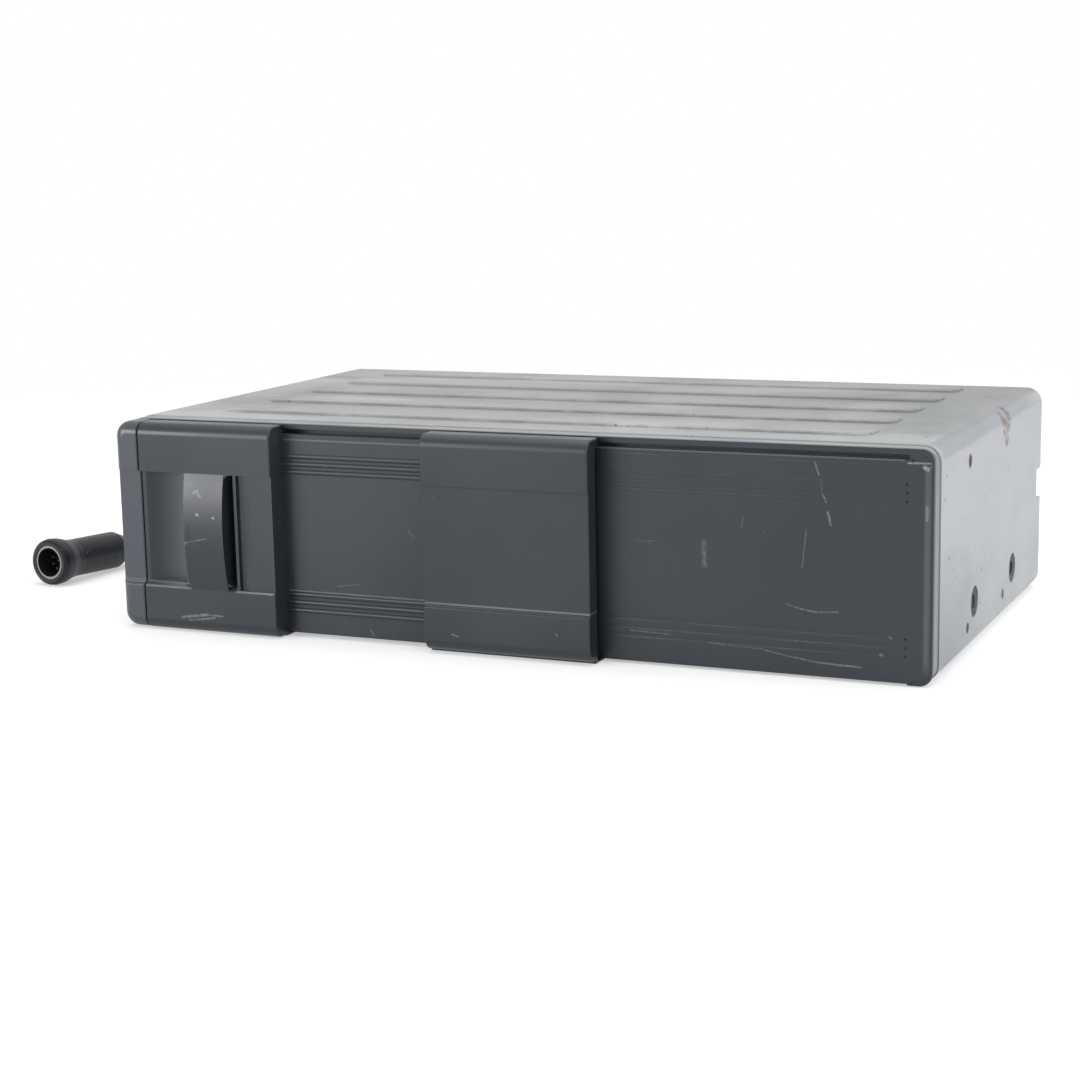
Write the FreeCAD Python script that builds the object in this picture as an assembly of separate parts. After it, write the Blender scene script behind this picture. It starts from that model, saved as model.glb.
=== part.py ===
import FreeCAD, Part
import math
import os

# Car CD changer: a steel case with a moulded front, a two-stage sliding door, a six-disc
# magazine on the left and a lifting play deck on the right. Millimetres, +Z up.
# Origin: the middle of the case's width and overall depth, at its underside.
# X runs to the right along the front, Y from the front to the rear.

V = FreeCAD.Vector
AXES = {"x": V(1, 0, 0), "y": V(0, 1, 0), "z": V(0, 0, 1)}

# ---------------------------------------------------------------- driving dimensions
# Clearances
GAP = 0.3               # between pieces that pass each other
SEAT = 0.1              # between pieces that are fastened together
RUN = 0.05              # radial, of a shaft or rod in its hole

# Discs and trays: the rest of the changer is sized round them
DISC_R = 60.0
DISC_HOLE_R = 7.5
DISC_T = 1.2
DISC_COUNT = 6
DISC_PITCH = 5.2
DISC_Y = 5.0            # disc centres, in the magazine and on the deck
DISC_Z = 17.0           # underside of the lowest disc
TRAY_FLOOR = 0.6
TRAY_LIP = 1.0
TRAY_BORDER = 1.3
TRAY_SLOT = 38.0        # opening for the turntable and the pickup
MAG_WALL = 2.0
GUIDE_T = 1.5
GUIDE_WINDOW_X = 35.0   # half length of the opening in the guide's floor
GUIDE_WINDOW_Y = 35.0   # half width of the same
GUIDE_LEG = 6.0
GUIDE_WALL_H = 16.0     # guide's left wall over its floor

# Case, round two disc places side by side
SIDE_ROOM = 10.0        # beside the two discs, at each end
END_ROOM = 13.0         # in front of the disc and behind it
HEAD_ROOM = 19.5        # over the lift pins at their highest
SHEET = 1.0             # steel sheet of the case
BEND = 5.0              # outside radius of the long bends
RIM_DEPTH = 7.6         # band that shows in front of the cover
RIM_WALL = 1.0
RIM_STEP = 0.3          # rim lies this much under the cover's surface
RIM_SLEEVE = 12.4       # how far the rim runs back inside the cover
RETURN_W = 18.0         # part of the underside that the cover wraps
BAR_COUNT = 5           # raised bars on the lid
BAR_PITCH = 26.5
BAR_DEPTH = 13.3
BAR_INSET = 23.7        # from the side of the case to a bar's end
BAR_RISE = 0.8
BAR_FIRST = 20.2        # front edge of the first bar behind the case's front edge
NOTCH_DEPTH = 6.2       # notch in the rear edge of each side
NOTCH_Z = (30.4, 40.2)
REAR_INSET = 3.4        # rear panel's outer face inside the case's edge
PAN_DEPTH = 2.4
PAD_INSET = (30.0, 28.0, 23.0)  # rubber pads from the side, the front and the rear edge
SCREW_INSET = 9.1       # rear panel's screws from the case's side
SCREW_Z = 10.0          # and from its underside and lid

# Bracket holes in the sides; places are behind the front edge and over the underside
BRACKET_AT = (50.6, 103.4)
BRACKET_Z = 14.3
BRACKET_HOLE_R = 4.7    # hole in the sheet
BUSH_THREAD_R = 2.1     # tapped hole of an M5 bush
BUSH_BOSS_R = 4.3
BUSH_FLANGE_R = 6.5
BUSH_FLANGE_T = 1.2
BUSH_LENGTH = 4.5       # from the sheet's inner face
SCREW_HEAD_R = 2.5      # rear panel's screws
SCREW_HEAD_T = 1.4
SCREW_SLOT = (1.8, 0.3) # half length and half width of the slot
SCREW_SLOT_DEPTH = 0.6
SCREW_SHANK = 4.0
PEG_HOLES = ((42.1, 8.1, 1.65), (89.9, 8.5, 1.65), (42.3, 57.2, 1.95))

# Front moulding; depths are in front of the case's front edge
CAP_W = 9.0             # fixed end cap at the left of the door
CAP_STAND = 7.6
CAP_SIDE_STEP = 0.9     # recess on the cap's side between its bands
SEAM = 0.5              # between the cap and the closed door
SEAM_R = 0.4
FLANGE_SET = 1.0        # flange in front of the rim: its face behind the front edge
FLANGE_IN = 2.6         # and the rim's edge
FLANGE_W = 1.5
FLANGE_R = 3.6          # its corners
END_W = 7.3             # right end of the fixed panel, which curves back to the rim
END_TOP_R = 2.4
END_R = 1.9
PANEL_SET = 0.4         # fixed panel behind the case's front edge
PANEL_T = 1.3
PANEL_LEFT = 31.0       # the fixed panel starts behind the centre cover
RAIL_H = 2.4            # rail bar over and under the door opening
RAIL_TOP_SET = 3.15     # its edge under the lid
RAIL_BOTTOM = 0.9
RING_SET = 3.4          # frame that holds the slot plate
RING_T = 2.4
RING_WALL = 2.2
BEZEL_T = 1.4           # slot plate
GROOVE_R = 0.5          # faint grooves in the fixed panel
GROOVE_DEPTH = 0.08
DOT_R = 0.4             # moulding dots past the grooves' ends
DOT_X = 7.6             # from the case's side

# Sliding door and centre cover
DOOR_STAND = 1.4        # plane of the ribbed panel
DOOR_T = 1.5
BLOCK_W = 47.7
BLOCK_STAND = 8.0
EDGE_R = 3.6            # rounding of the top and bottom front edges
SIDE_R = 0.5            # rounding of the upright front edges
STEP_R = 0.4            # rounding where a band steps up
DOOR_LOW = 1.5          # lower edge of the ribbed panel
BAND_TOP_SET = 15.7     # lower edge of the raised top band, under the lid
BAND_BOTTOM_Z = 14.2    # upper edge of the raised bottom band
BAND_RISE = 1.5
RIB_TOP_SET = (9.9, 12.3, 14.7)
RIB_BOTTOM_Z = (13.5, 11.0, 8.5)
RIB_R = 0.9
COVER_X = (-21.6, 31.9)
COVER_STAND = 8.2
COVER_LOW = 0.9
COVER_RECESS = 0.5
COVER_WALL = 1.5
COVER_FRONT_T = 2.0
COVER_STOP = 7.6        # the open cover's edge from the case's side
HOOK_SET = 3.1
HOOK_TOP_T = 0.7
HOOK_LOW_T = 0.5
HOOK_ROOT = 1.5         # how far the lips reach into the piece
BAR_AT = (26.3, 40.4)   # grip bar of the door, from the case's side
BAR_BELLY = 2.0
BAR_FLARE = 2.0         # fillets at the bar's ends
SCOOP_DEPTH = 5.6
POCKET_AT = 43.4        # right edge of the pocket beside the bar
RIDGE_W = 1.0
GROOVE_W = 1.2
SHALLOW = 0.5           # recess right of the ridge, at its right end
CATCH = 1.6             # catch on the ribbed panel that takes the cover along

# Main board, under the magazine
BOARD_IN = (13.1, 15.0) # from the magazine's sides
BOARD_REACH = (50.0, 48.0)      # in front of the disc's centre and behind it
BOARD_T = 1.6
BOARD_RISE = 1.6        # height of its standoffs
STANDOFF_R = 3.0
CHIPS = (((15, 33), (15, 33)), ((45, 59), (25, 39)), ((67, 81), (55, 75)), ((20, 35), (60, 72)))
CHIP_H = 2.0
CAN_AT = ((45.0, 87.0), (55.0, 87.0), (65.0, 87.0))
CAN_R = 2.5
CAN_H = 3.2

# Chassis and lift; places are from the spindle
CHASSIS_Z = 4.0
CHASSIS_T = 1.0
CHASSIS_TOP_SET = 4.5
LIFT_OVER = 3.0         # the deck rises this much more than the stack is high
CAM_TRAVEL = 20.0
CAM_T = 1.0
CAM_MARGIN = 5.0
CAM_LOW = 5.6           # lower edge under the pins
PIN_AT = (-6.5, 33.5)
PIN_Z = 18.0
PIN_R = 1.4
RACK_TEETH = 12
RACK_ADD = 0.45         # short rack teeth clear the undercut of a small pinion
RACK_DED = 1.0
BACKLASH = 0.15
MODULE = 0.8
PINION_TEETH = 10
SHAFT_AT = 26.5
SHAFT_R = 1.5
MOTOR_AT = 13.5
MOTOR_SHAFT_R = 0.8
MOTOR_BOSS_R = 2.4
MOTOR_SHAFT_IN = 7.0    # shaft inside the lift motor
LIFT_MOTOR_R = 5.0
LIFT_MOTOR_LENGTH = 20.0

# Play deck and pickup
DECK_Z = 9.2
DECK_T = 1.2
DECK_EDGE = 4.0         # deck's ends inside the chassis's walls
FLANGE_AT = (-16.5, 43.5)
FLANGE_T = 1.0
SEAT_Z = 14.4           # where a disc sits on the turntable, deck down
TURNTABLE_R = 16.0
SPINDLE_R = 1.0
MOTOR_R = 9.0
MOTOR_LOW = 5.6
FRAME_BORDER = (5.5, 6.5)       # pickup chassis beside the sled, left and right
FRAME_REAR = 16.0
POST_OUT = 3.5          # deck posts beside the pickup chassis
POST_AT = (-51.0, 9.0)
POST_R = 1.5
POST_TOP = 15.6
LUG_RISE = 1.4
LUG_HALF = 3.5
BEARER_T = 1.1
BEARER_LOW = 6.6
SLED_IN = 24.0          # pickup lens to spindle at its innermost
SLED_W = 26.0
SLED_AT = (-4.0, 6.0)   # sled's front and rear beside the lens
SLED_Z = (6.4, 11.6)
ROD_R = 1.0
ROD_IN = 2.0            # rods inside the sled's sides
ROD_Z = 8.0
ROD_AT = -16.2          # rear end of the rods
SCREW_OUT = 3.0         # lead screw outside the sled's side
LEAD_SCREW_Z = 8.6
SCREW_R = 1.2
SCREW_END_AT = -17.0
SCREW_PITCH = 5.0
SCREW_GROOVES = 7
SLED_MOTOR_R = 3.2
SLED_MOTOR_LENGTH = 12.7
SLED_BOSS_R = 1.4
SLED_BOSS = 0.9
BRIDGE_W = 24.0
BRIDGE_T = 1.2
BRIDGE_HOLE_R = 5.5
BRIDGE_CORNER = 6.0
TAB_DEPTH = 7.0         # deck's tab under the bridge
PUCK_R = 14.0
PUCK_NECK_R = 4.7
PUCK_CAP_R = 7.5
PUCK_CAP_T = 1.0
PUCK_T = 2.4
PUCK_DROP = 0.6         # puck under the bridge's underside

# Eject button and latch, right of the magazine
BUTTON_AT = (1.8, 8.2)
BUTTON_Z = (22.0, 38.0)
PLUNGER_AT = 14.0
PLUNGER_Z = 12.5
PLUNGER_R = 1.0
TAIL_T = 1.0            # button's tail plate
BRACKET_PLATE_AT = (16.0, 17.0)
LATCH_AT = (6.0, 28.0)
LATCH_ARM = 8.0         # plunger line to pivot
LATCH_REACH = (-11.0, -8.0)     # tooth, behind the pivot's line
SPRING_R = 1.8
SPRING_WIRE = 0.45
SPRING_TURNS = 5

# Lead: it leaves the rear at the left and lies beside the case. Its route and the connector's
# mouth are given from the case's rear left corner.
CORD_R = 2.9
CORD_BEND = 0.45        # share of the shorter run that an arc takes
CORD_ROUTE = [
    (35.0, -0.4, 22.0),
    (35.0, 21.0, 22.0),
    (29.0, 39.0, 9.5),
    (12.0, 53.0, 3.2),
    (-16.0, 59.0, 3.0),
    (-42.0, 48.0, 3.0),
    (-57.0, 23.0, 3.0),
    (-61.0, -6.0, 3.0),
    (-60.0, -33.0, 3.6),
]
CORD_STRAIGHT = 16.0    # straight run in front of the connector
GROMMET_R = 5.2
CONN_GRIP_R = 6.6       # connector body
CONN_MOUTH_R = 8.2
CONN_LENGTH = 46.0
CONN_AT = (-62.2, -108.3, 8.35)
CONN_TURN = 5.0         # the connector points this much off the Y axis
CONN_DROP = 2.5         # and slopes down to its tail
SOCKET_R = 5.9
SOCKET_DEPTH = 14.0
SOCKET_RING_T = 0.8     # metal ring in the socket
CORE_FACE = 9.5         # insulator's face behind the mouth
PIN_TIP = 5.5
PIN_COUNT = 7
PIN_CIRCLE_R = 3.1
CONTACT_R = 0.5

# ---------------------------------------------------------------- derived sizes
# Case
STACK = (DISC_COUNT - 1) * DISC_PITCH
LIFT = STACK + LIFT_OVER
CASE_W = 4 * DISC_R + 2 * SIDE_ROOM
CASE_H = PIN_Z + LIFT + HEAD_ROOM
CASE_FRONT = DISC_Y - DISC_R - END_ROOM
CASE_REAR = DISC_Y + DISC_R + END_ROOM
HALF_W = CASE_W / 2
COVER_START = CASE_FRONT + RIM_DEPTH
RIM_FRONT = CASE_FRONT + FLANGE_IN
SLEEVE_END = COVER_START + RIM_SLEEVE
REAR_FACE = CASE_REAR - REAR_INSET
BRACKET_Y = tuple(CASE_FRONT + at for at in BRACKET_AT)
PAD_X = HALF_W - PAD_INSET[0]
PAD_Y = (CASE_FRONT + PAD_INSET[1], CASE_REAR - PAD_INSET[2])

# Front
CAP_FACE = CASE_FRONT - CAP_STAND
CAP_RIGHT = -HALF_W + CAP_W
FLANGE_FACE = CASE_FRONT + FLANGE_SET
PANEL_END = HALF_W - END_W
PANEL_FACE = CASE_FRONT + PANEL_SET
RAIL_TOP = CASE_H - RAIL_TOP_SET
RING_FRONT = CASE_FRONT + RING_SET
RING_REAR = RING_FRONT + RING_T
INNER_X = HALF_W - RIM_STEP - RIM_WALL - SEAT
INNER_Z = (RIM_STEP + RIM_WALL + SEAT, CASE_H - RIM_STEP - RIM_WALL - SEAT)
DOOR_FACE = CASE_FRONT - DOOR_STAND
DOOR_REAR = DOOR_FACE + DOOR_T
DOOR_Z = (DOOR_LOW, RAIL_TOP)
BLOCK_X = (CAP_RIGHT + SEAM, CAP_RIGHT + GAP + BLOCK_W)
BLOCK_FACE = CASE_FRONT - BLOCK_STAND
BLOCK_Z = (0.3, CASE_H - 0.5)
BAND_PLANE = BLOCK_FACE + BAND_RISE
BAND_TOP_Z = CASE_H - BAND_TOP_SET
RIB_Z = tuple(CASE_H - down for down in RIB_TOP_SET) + RIB_BOTTOM_Z
BAR_X = tuple(-HALF_W + at for at in BAR_AT)
POCKET_RIGHT = -HALF_W + POCKET_AT
COVER_FACE = CASE_FRONT - COVER_STAND
COVER_Z = (COVER_LOW, CASE_H - 0.5)
COVER_TRAVEL = HALF_W - COVER_STOP - COVER_X[1]
HOOK_REAR = CASE_FRONT + HOOK_SET
HOOK_TOP_Z = (RAIL_TOP + GAP, RAIL_TOP + GAP + HOOK_TOP_T)
HOOK_BOTTOM_Z = (RAIL_BOTTOM - GAP - HOOK_LOW_T, RAIL_BOTTOM - GAP)
CATCH_X = COVER_X[0] + COVER_WALL + GAP
DOOR_END = CATCH_X + 2.2

# Magazine
TRAY_R = DISC_R + TRAY_BORDER
TRAY_Z = DISC_Z - TRAY_FLOOR
TRAY_T = TRAY_FLOOR + TRAY_LIP
DISC_X = -HALF_W + DISC_R + 15.5
TRAY_FRONT = DISC_Y - TRAY_R
TRAY_REAR = DISC_Y + TRAY_R
MAG_BOTTOM = TRAY_Z - GAP - 2.5
MAG_TOP = TRAY_Z + STACK + TRAY_T + 1.0 + MAG_WALL
MAG_X = (DISC_X - TRAY_R - GAP - MAG_WALL, DISC_X + TRAY_R + 1.2)
MAG_FACE = RING_FRONT + GAP
MAG_INNER_FRONT = TRAY_FRONT - 0.7
MAG_INNER_REAR = TRAY_REAR + 0.7
GUIDE_Y = (CASE_FRONT + 7.0, CASE_REAR - 8.0)
GUIDE_LEG_Y = (GUIDE_Y[0] + 7.0, GUIDE_Y[1] - 8.0)
BOARD_X = (MAG_X[0] + BOARD_IN[0], MAG_X[1] - BOARD_IN[1])
BOARD_Y = (DISC_Y - BOARD_REACH[0], DISC_Y + BOARD_REACH[1])
BOARD_Z = CHASSIS_Z + CHASSIS_T + BOARD_RISE

# Deck, lift and pickup
SPINDLE_X = HALF_W - DISC_R - 8.5
SPINDLE = (SPINDLE_X, DISC_Y)
CHASSIS_TOP = CASE_H - CHASSIS_TOP_SET
CHASSIS_LEFT = -HALF_W + 8.0
WALL_X = (MAG_X[1] + 20.0, HALF_W - 6.0)
DECK_X = (WALL_X[0] + DECK_EDGE, WALL_X[1] - DECK_EDGE)
DECK_TOP = DECK_Z + DECK_T
FLANGE_X = tuple(SPINDLE_X + at for at in FLANGE_AT)
FLANGE_FRONT = TRAY_FRONT - 0.7
FLANGE_REAR = TRAY_REAR + 0.7
WALL_GAP = 0.4
WALL_FRONT = FLANGE_FRONT - FLANGE_T - WALL_GAP
WALL_REAR = FLANGE_REAR + FLANGE_T + WALL_GAP
PIN_X = tuple(SPINDLE_X + at for at in PIN_AT)
CAM_FRONT = WALL_FRONT - CHASSIS_T - WALL_GAP
CAM_REAR = WALL_REAR + CHASSIS_T + WALL_GAP
CAM_X = (PIN_X[0] - CAM_TRAVEL - CAM_MARGIN, PIN_X[1] + CAM_MARGIN)
CAM_Z = (PIN_Z - CAM_LOW, PIN_Z + LIFT + CAM_MARGIN)
PITCH_R = MODULE * PINION_TEETH / 2
RACK_PITCH = math.pi * MODULE
SHAFT_X = SPINDLE_X + SHAFT_AT
SHAFT_Z = CAM_Z[0] - RACK_DED - PITCH_R
MOTOR_X = SPINDLE_X + MOTOR_AT
TOP_PINION_Z = CAM_Z[1] + RACK_DED + PITCH_R
BRIDGE_Z = PIN_Z + 3.6
FRAME_X = (SPINDLE_X - SLED_W / 2 - FRAME_BORDER[0], SPINDLE_X + SLED_W / 2 + FRAME_BORDER[1])
FRAME_Y = (DISC_Y - DISC_R - GAP, DISC_Y + FRAME_REAR)
POST_X = (FRAME_X[0] - POST_OUT, FRAME_X[1] + POST_OUT)
POST_Y = tuple(DISC_Y + at for at in POST_AT)
ROD_END = DISC_Y + ROD_AT
ROD_OFFSET = SLED_W / 2 - ROD_IN
SCREW_X = SPINDLE_X + SLED_W / 2 + SCREW_OUT
SCREW_END = DISC_Y + SCREW_END_AT
LENS_Y = DISC_Y - SLED_IN

# Eject button, latch and lead
BUTTON_X = tuple(MAG_X[1] + at for at in BUTTON_AT)
PLUNGER_X = MAG_X[1] + PLUNGER_AT
TAIL_Y = RING_FRONT + BEZEL_T + GAP
BRACKET_PLATE_Y = tuple(CASE_FRONT + at for at in BRACKET_PLATE_AT)
LATCH_PIVOT = (MAG_X[1] + LATCH_AT[0], CASE_FRONT + LATCH_AT[1])
CORNER = V(-HALF_W, CASE_REAR, 0)
CORD_EXIT = (CORNER.x + CORD_ROUTE[0][0], CORD_ROUTE[0][2])
CONN_MOUTH = CORNER + V(*CONN_AT)


# ---------------------------------------------------------------- helpers
def box(x, y, z):
    """Block between two X, two Y and two Z values."""
    return Part.makeBox(x[1] - x[0], y[1] - y[0], z[1] - z[0], V(x[0], y[0], z[0]))


def rod(axis, r, centre, span):
    """Cylinder along an axis between two values; centre gives the other two coordinates."""
    place = {"x": V(span[0], centre[0], centre[1]),
             "y": V(centre[0], span[0], centre[1]),
             "z": V(centre[0], centre[1], span[0])}[axis]
    return Part.makeCylinder(r, span[1] - span[0], place, AXES[axis])


def tube(axis, r_out, r_in, centre, span):
    return rod(axis, r_out, centre, span).cut(rod(axis, r_in, centre, span))


def fuse(parts):
    return parts[0].multiFuse(parts[1:]).removeSplitter() if len(parts) > 1 else parts[0]


def group(parts):
    return Part.makeCompound(parts)


def prism(points, axis, span):
    """Straight-sided outline in the plane across an axis, extruded between two values."""
    lift = {"x": lambda a, b: V(span[0], a, b),
            "y": lambda a, b: V(a, span[0], b),
            "z": lambda a, b: V(a, b, span[0])}[axis]
    corners = [lift(a, b) for a, b in points]
    face = Part.Face(Part.makePolygon(corners + corners[:1]))
    return face.extrude(AXES[axis] * (span[1] - span[0]))


def edges_along(shape, axis, where=lambda e: True):
    """Straight edges parallel to an axis that pass a test."""
    found = []
    for e in shape.Edges:
        if isinstance(e.Curve, Part.Line) and abs(e.tangentAt(e.FirstParameter).dot(AXES[axis])) > 0.999:
            if where(e.CenterOfMass):
                found.append(e)
    return found


def rounded(shape, r, axis, where=lambda c: True):
    return shape.makeFillet(r, edges_along(shape, axis, where))


def bevelled(shape, size, axis, where=lambda c: True):
    return shape.makeChamfer(size, edges_along(shape, axis, where))


def sleeve(inset, wall, y, bend):
    """Closed sheet sleeve that follows the case's section, inset from its surface."""
    def ring(d):
        block = box((-HALF_W + d, HALF_W - d), y, (d, CASE_H - d))
        return rounded(block, max(bend - d, 0.5), "y")
    return ring(inset).cut(ring(inset + wall))


# ---------------------------------------------------------------- case
def case_cover():
    """Sheet that wraps lid, sides and the edges of the underside, with embossed bars."""
    shell = sleeve(0, SHEET, (COVER_START, CASE_REAR), BEND)
    open_x = HALF_W - RETURN_W
    shell = shell.cut(box((-open_x, open_x), (COVER_START - 1, CASE_REAR + 1), (-1, SHEET + 1)))
    bars = []
    for i in range(BAR_COUNT):
        y = CASE_FRONT + BAR_FIRST + i * BAR_PITCH
        bar = box((BAR_INSET - HALF_W, HALF_W - BAR_INSET), (y, y + BAR_DEPTH),
                  (CASE_H - SHEET / 2, CASE_H + BAR_RISE))
        bar = rounded(bar, 4.0, "z")
        top = [f for f in bar.Faces if f.CenterOfMass.z > CASE_H + BAR_RISE - 0.01][0]
        bars.append(bar.makeChamfer(0.45, top.Edges))
    shell = fuse([shell] + bars)
    cuts = []
    for side in (-1, 1):
        x = (side * HALF_W - 2, side * HALF_W + 2)
        for y in BRACKET_Y:
            cuts.append(rod("x", BRACKET_HOLE_R, (y, BRACKET_Z), x))
        for at, z, r in PEG_HOLES:
            cuts.append(rod("x", r, (CASE_FRONT + at, z), x))
        cuts.append(box(x, (CASE_REAR - NOTCH_DEPTH, CASE_REAR + 1), NOTCH_Z))
    return shell.cut(group(cuts))


def front_rim():
    """Rim of the inner housing: it shows as a band and sleeves into the cover behind it."""
    band = sleeve(RIM_STEP, RIM_WALL, (RIM_FRONT, COVER_START - SEAT), BEND)
    joggle = sleeve(RIM_STEP, SHEET + SEAT + SHEET - RIM_STEP, (COVER_START - 1.4, COVER_START - SEAT), BEND)
    inside = sleeve(SHEET + SEAT, SHEET, (COVER_START - 1.4, SLEEVE_END), BEND)
    # The door's lower lips run in front of the sheet, which is cut back for them.
    lips = box((CAP_RIGHT - SEAT, PANEL_END + SEAT), (RIM_FRONT - 1, RING_FRONT), (0, BEND / 2))
    return fuse([band, joggle, inside]).cut(lips)


def bottom_plate():
    """Pressed plate between the cover's returns, its long edges stepped up to lap them."""
    open_x = HALF_W - RETURN_W - GAP
    plate = box((-open_x, open_x), (COVER_START + GAP, CASE_REAR - 4), (0, SHEET))
    steps = []
    for side in (-1, 1):
        x = sorted((side * (open_x - 5), side * (open_x + 6)))
        steps.append(box(x, (SLEEVE_END + 1, CASE_REAR - 5), (SHEET, 2 * SHEET)))
    return fuse([plate] + steps)


def rear_panel():
    """Shallow pressed pan that closes the rear, with a hole for the lead's grommet."""
    x = HALF_W - SHEET - SEAT
    z = (2 * SHEET + SEAT, CASE_H - SHEET - SEAT)
    bend = BEND - SHEET
    pan = rounded(box((-x, x), (REAR_FACE - PAN_DEPTH, REAR_FACE), z), bend, "y")
    hollow = rounded(box((-x + SHEET, x - SHEET), (REAR_FACE - PAN_DEPTH - 1, REAR_FACE - SHEET),
                         (z[0] + SHEET, z[1] - SHEET)), bend - SHEET, "y")
    hole = rod("y", GROMMET_R - 1.2, CORD_EXIT, (CASE_REAR - 6, CASE_REAR))
    screws = [rod("y", 1.3, spot, (CASE_REAR - 6, CASE_REAR)) for spot in screw_spots()]
    return pan.cut(group([hollow, hole] + screws))


def screw_spots():
    """X and Z of the rear panel's screws."""
    x = HALF_W - SCREW_INSET
    return [(sx, sz) for sx in (-x, x) for sz in (SCREW_Z, CASE_H - SCREW_Z)]


def bracket_bushes():
    """Tapped bushes behind the side holes, which take the mounting brackets."""
    bushes = []
    for side in (-1, 1):
        wall = HALF_W - SHEET
        for y in BRACKET_Y:
            def span(a, b):
                return tuple(sorted((side * a, side * b)))
            bush = fuse([rod("x", BUSH_FLANGE_R, (y, BRACKET_Z), span(wall - BUSH_FLANGE_T, wall)),
                         rod("x", BUSH_BOSS_R, (y, BRACKET_Z), span(wall - BUSH_LENGTH, HALF_W - 0.4))])
            bushes.append(bush.cut(rod("x", BUSH_THREAD_R, (y, BRACKET_Z), span(wall - 2 * BUSH_LENGTH, HALF_W + 1))))
    return group(bushes)


def case_screws():
    """Pan-head screws that hold the rear panel."""
    heads = []
    for x, z in screw_spots():
        top = REAR_FACE + SCREW_HEAD_T
        head = rod("y", SCREW_HEAD_R, (x, z), (REAR_FACE, top))
        slot = box((x - SCREW_SLOT[0], x + SCREW_SLOT[0]), (top - SCREW_SLOT_DEPTH, top + 1),
                   (z - SCREW_SLOT[1], z + SCREW_SLOT[1]))
        shank = rod("y", SCREW_HEAD_R / 2, (x, z), (REAR_FACE - SCREW_SHANK, REAR_FACE + SCREW_HEAD_T / 3))
        heads.append(fuse([head, shank]).cut(slot))
    return group(heads)


# ---------------------------------------------------------------- front
def end_cap():
    """Left end of the front: its bands carry on those of the door round the corner."""
    left = -HALF_W
    slab = box((left, CAP_RIGHT), (CAP_FACE, RIM_FRONT - SEAT), BLOCK_Z)
    slab = rounded(slab, BEND - BLOCK_Z[0], "y", lambda c: c.x < left + 0.1)
    slab = rounded(slab, EDGE_R, "x", lambda c: c.y < CAP_FACE + 0.1)
    side = prism([(left - 1, BAND_BOTTOM_Z), (left, BAND_BOTTOM_Z),
                  (left + CAP_SIDE_STEP, BAND_BOTTOM_Z + CAP_SIDE_STEP), (left + CAP_SIDE_STEP, BAND_TOP_Z),
                  (left - 1, BAND_TOP_Z)], "y", (CAP_FACE - 1, CASE_FRONT))
    slab = slab.cut(band_recess((left - 1, CAP_RIGHT + 1), CAP_FACE, BAND_RISE))
    slab = soft_steps(slab, (left, CAP_RIGHT), CAP_FACE, BAND_RISE)
    return soft_end(slab.cut(side), CAP_RIGHT, CAP_FACE, SEAM_R)


def flange_outline(inset, y):
    """Slab with the outline of the case's front, inset from the flange's own."""
    inset = RIM_STEP + inset
    slab = box((-HALF_W + inset, HALF_W - inset), y, (inset, CASE_H - inset))
    return rounded(slab, FLANGE_R + RIM_STEP - inset, "y")


def panel_end():
    """Right end of the fixed panel: its edges curve back to the rim."""
    end = box((PANEL_END, HALF_W - RIM_STEP), (PANEL_FACE, RIM_FRONT - SEAT), (RIM_STEP, RAIL_TOP))
    end = rounded(end, END_TOP_R, "y", lambda c: c.x > PANEL_END + 1 and c.z > BEND)
    end = rounded(end, FLANGE_R, "y", lambda c: c.x > PANEL_END + 1 and c.z < BEND)
    front = [e for e in end.Edges if e.BoundBox.YMax < PANEL_FACE + 0.01 and e.CenterOfMass.x > PANEL_END + 1]
    return end.makeFillet(END_R, front)


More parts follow.
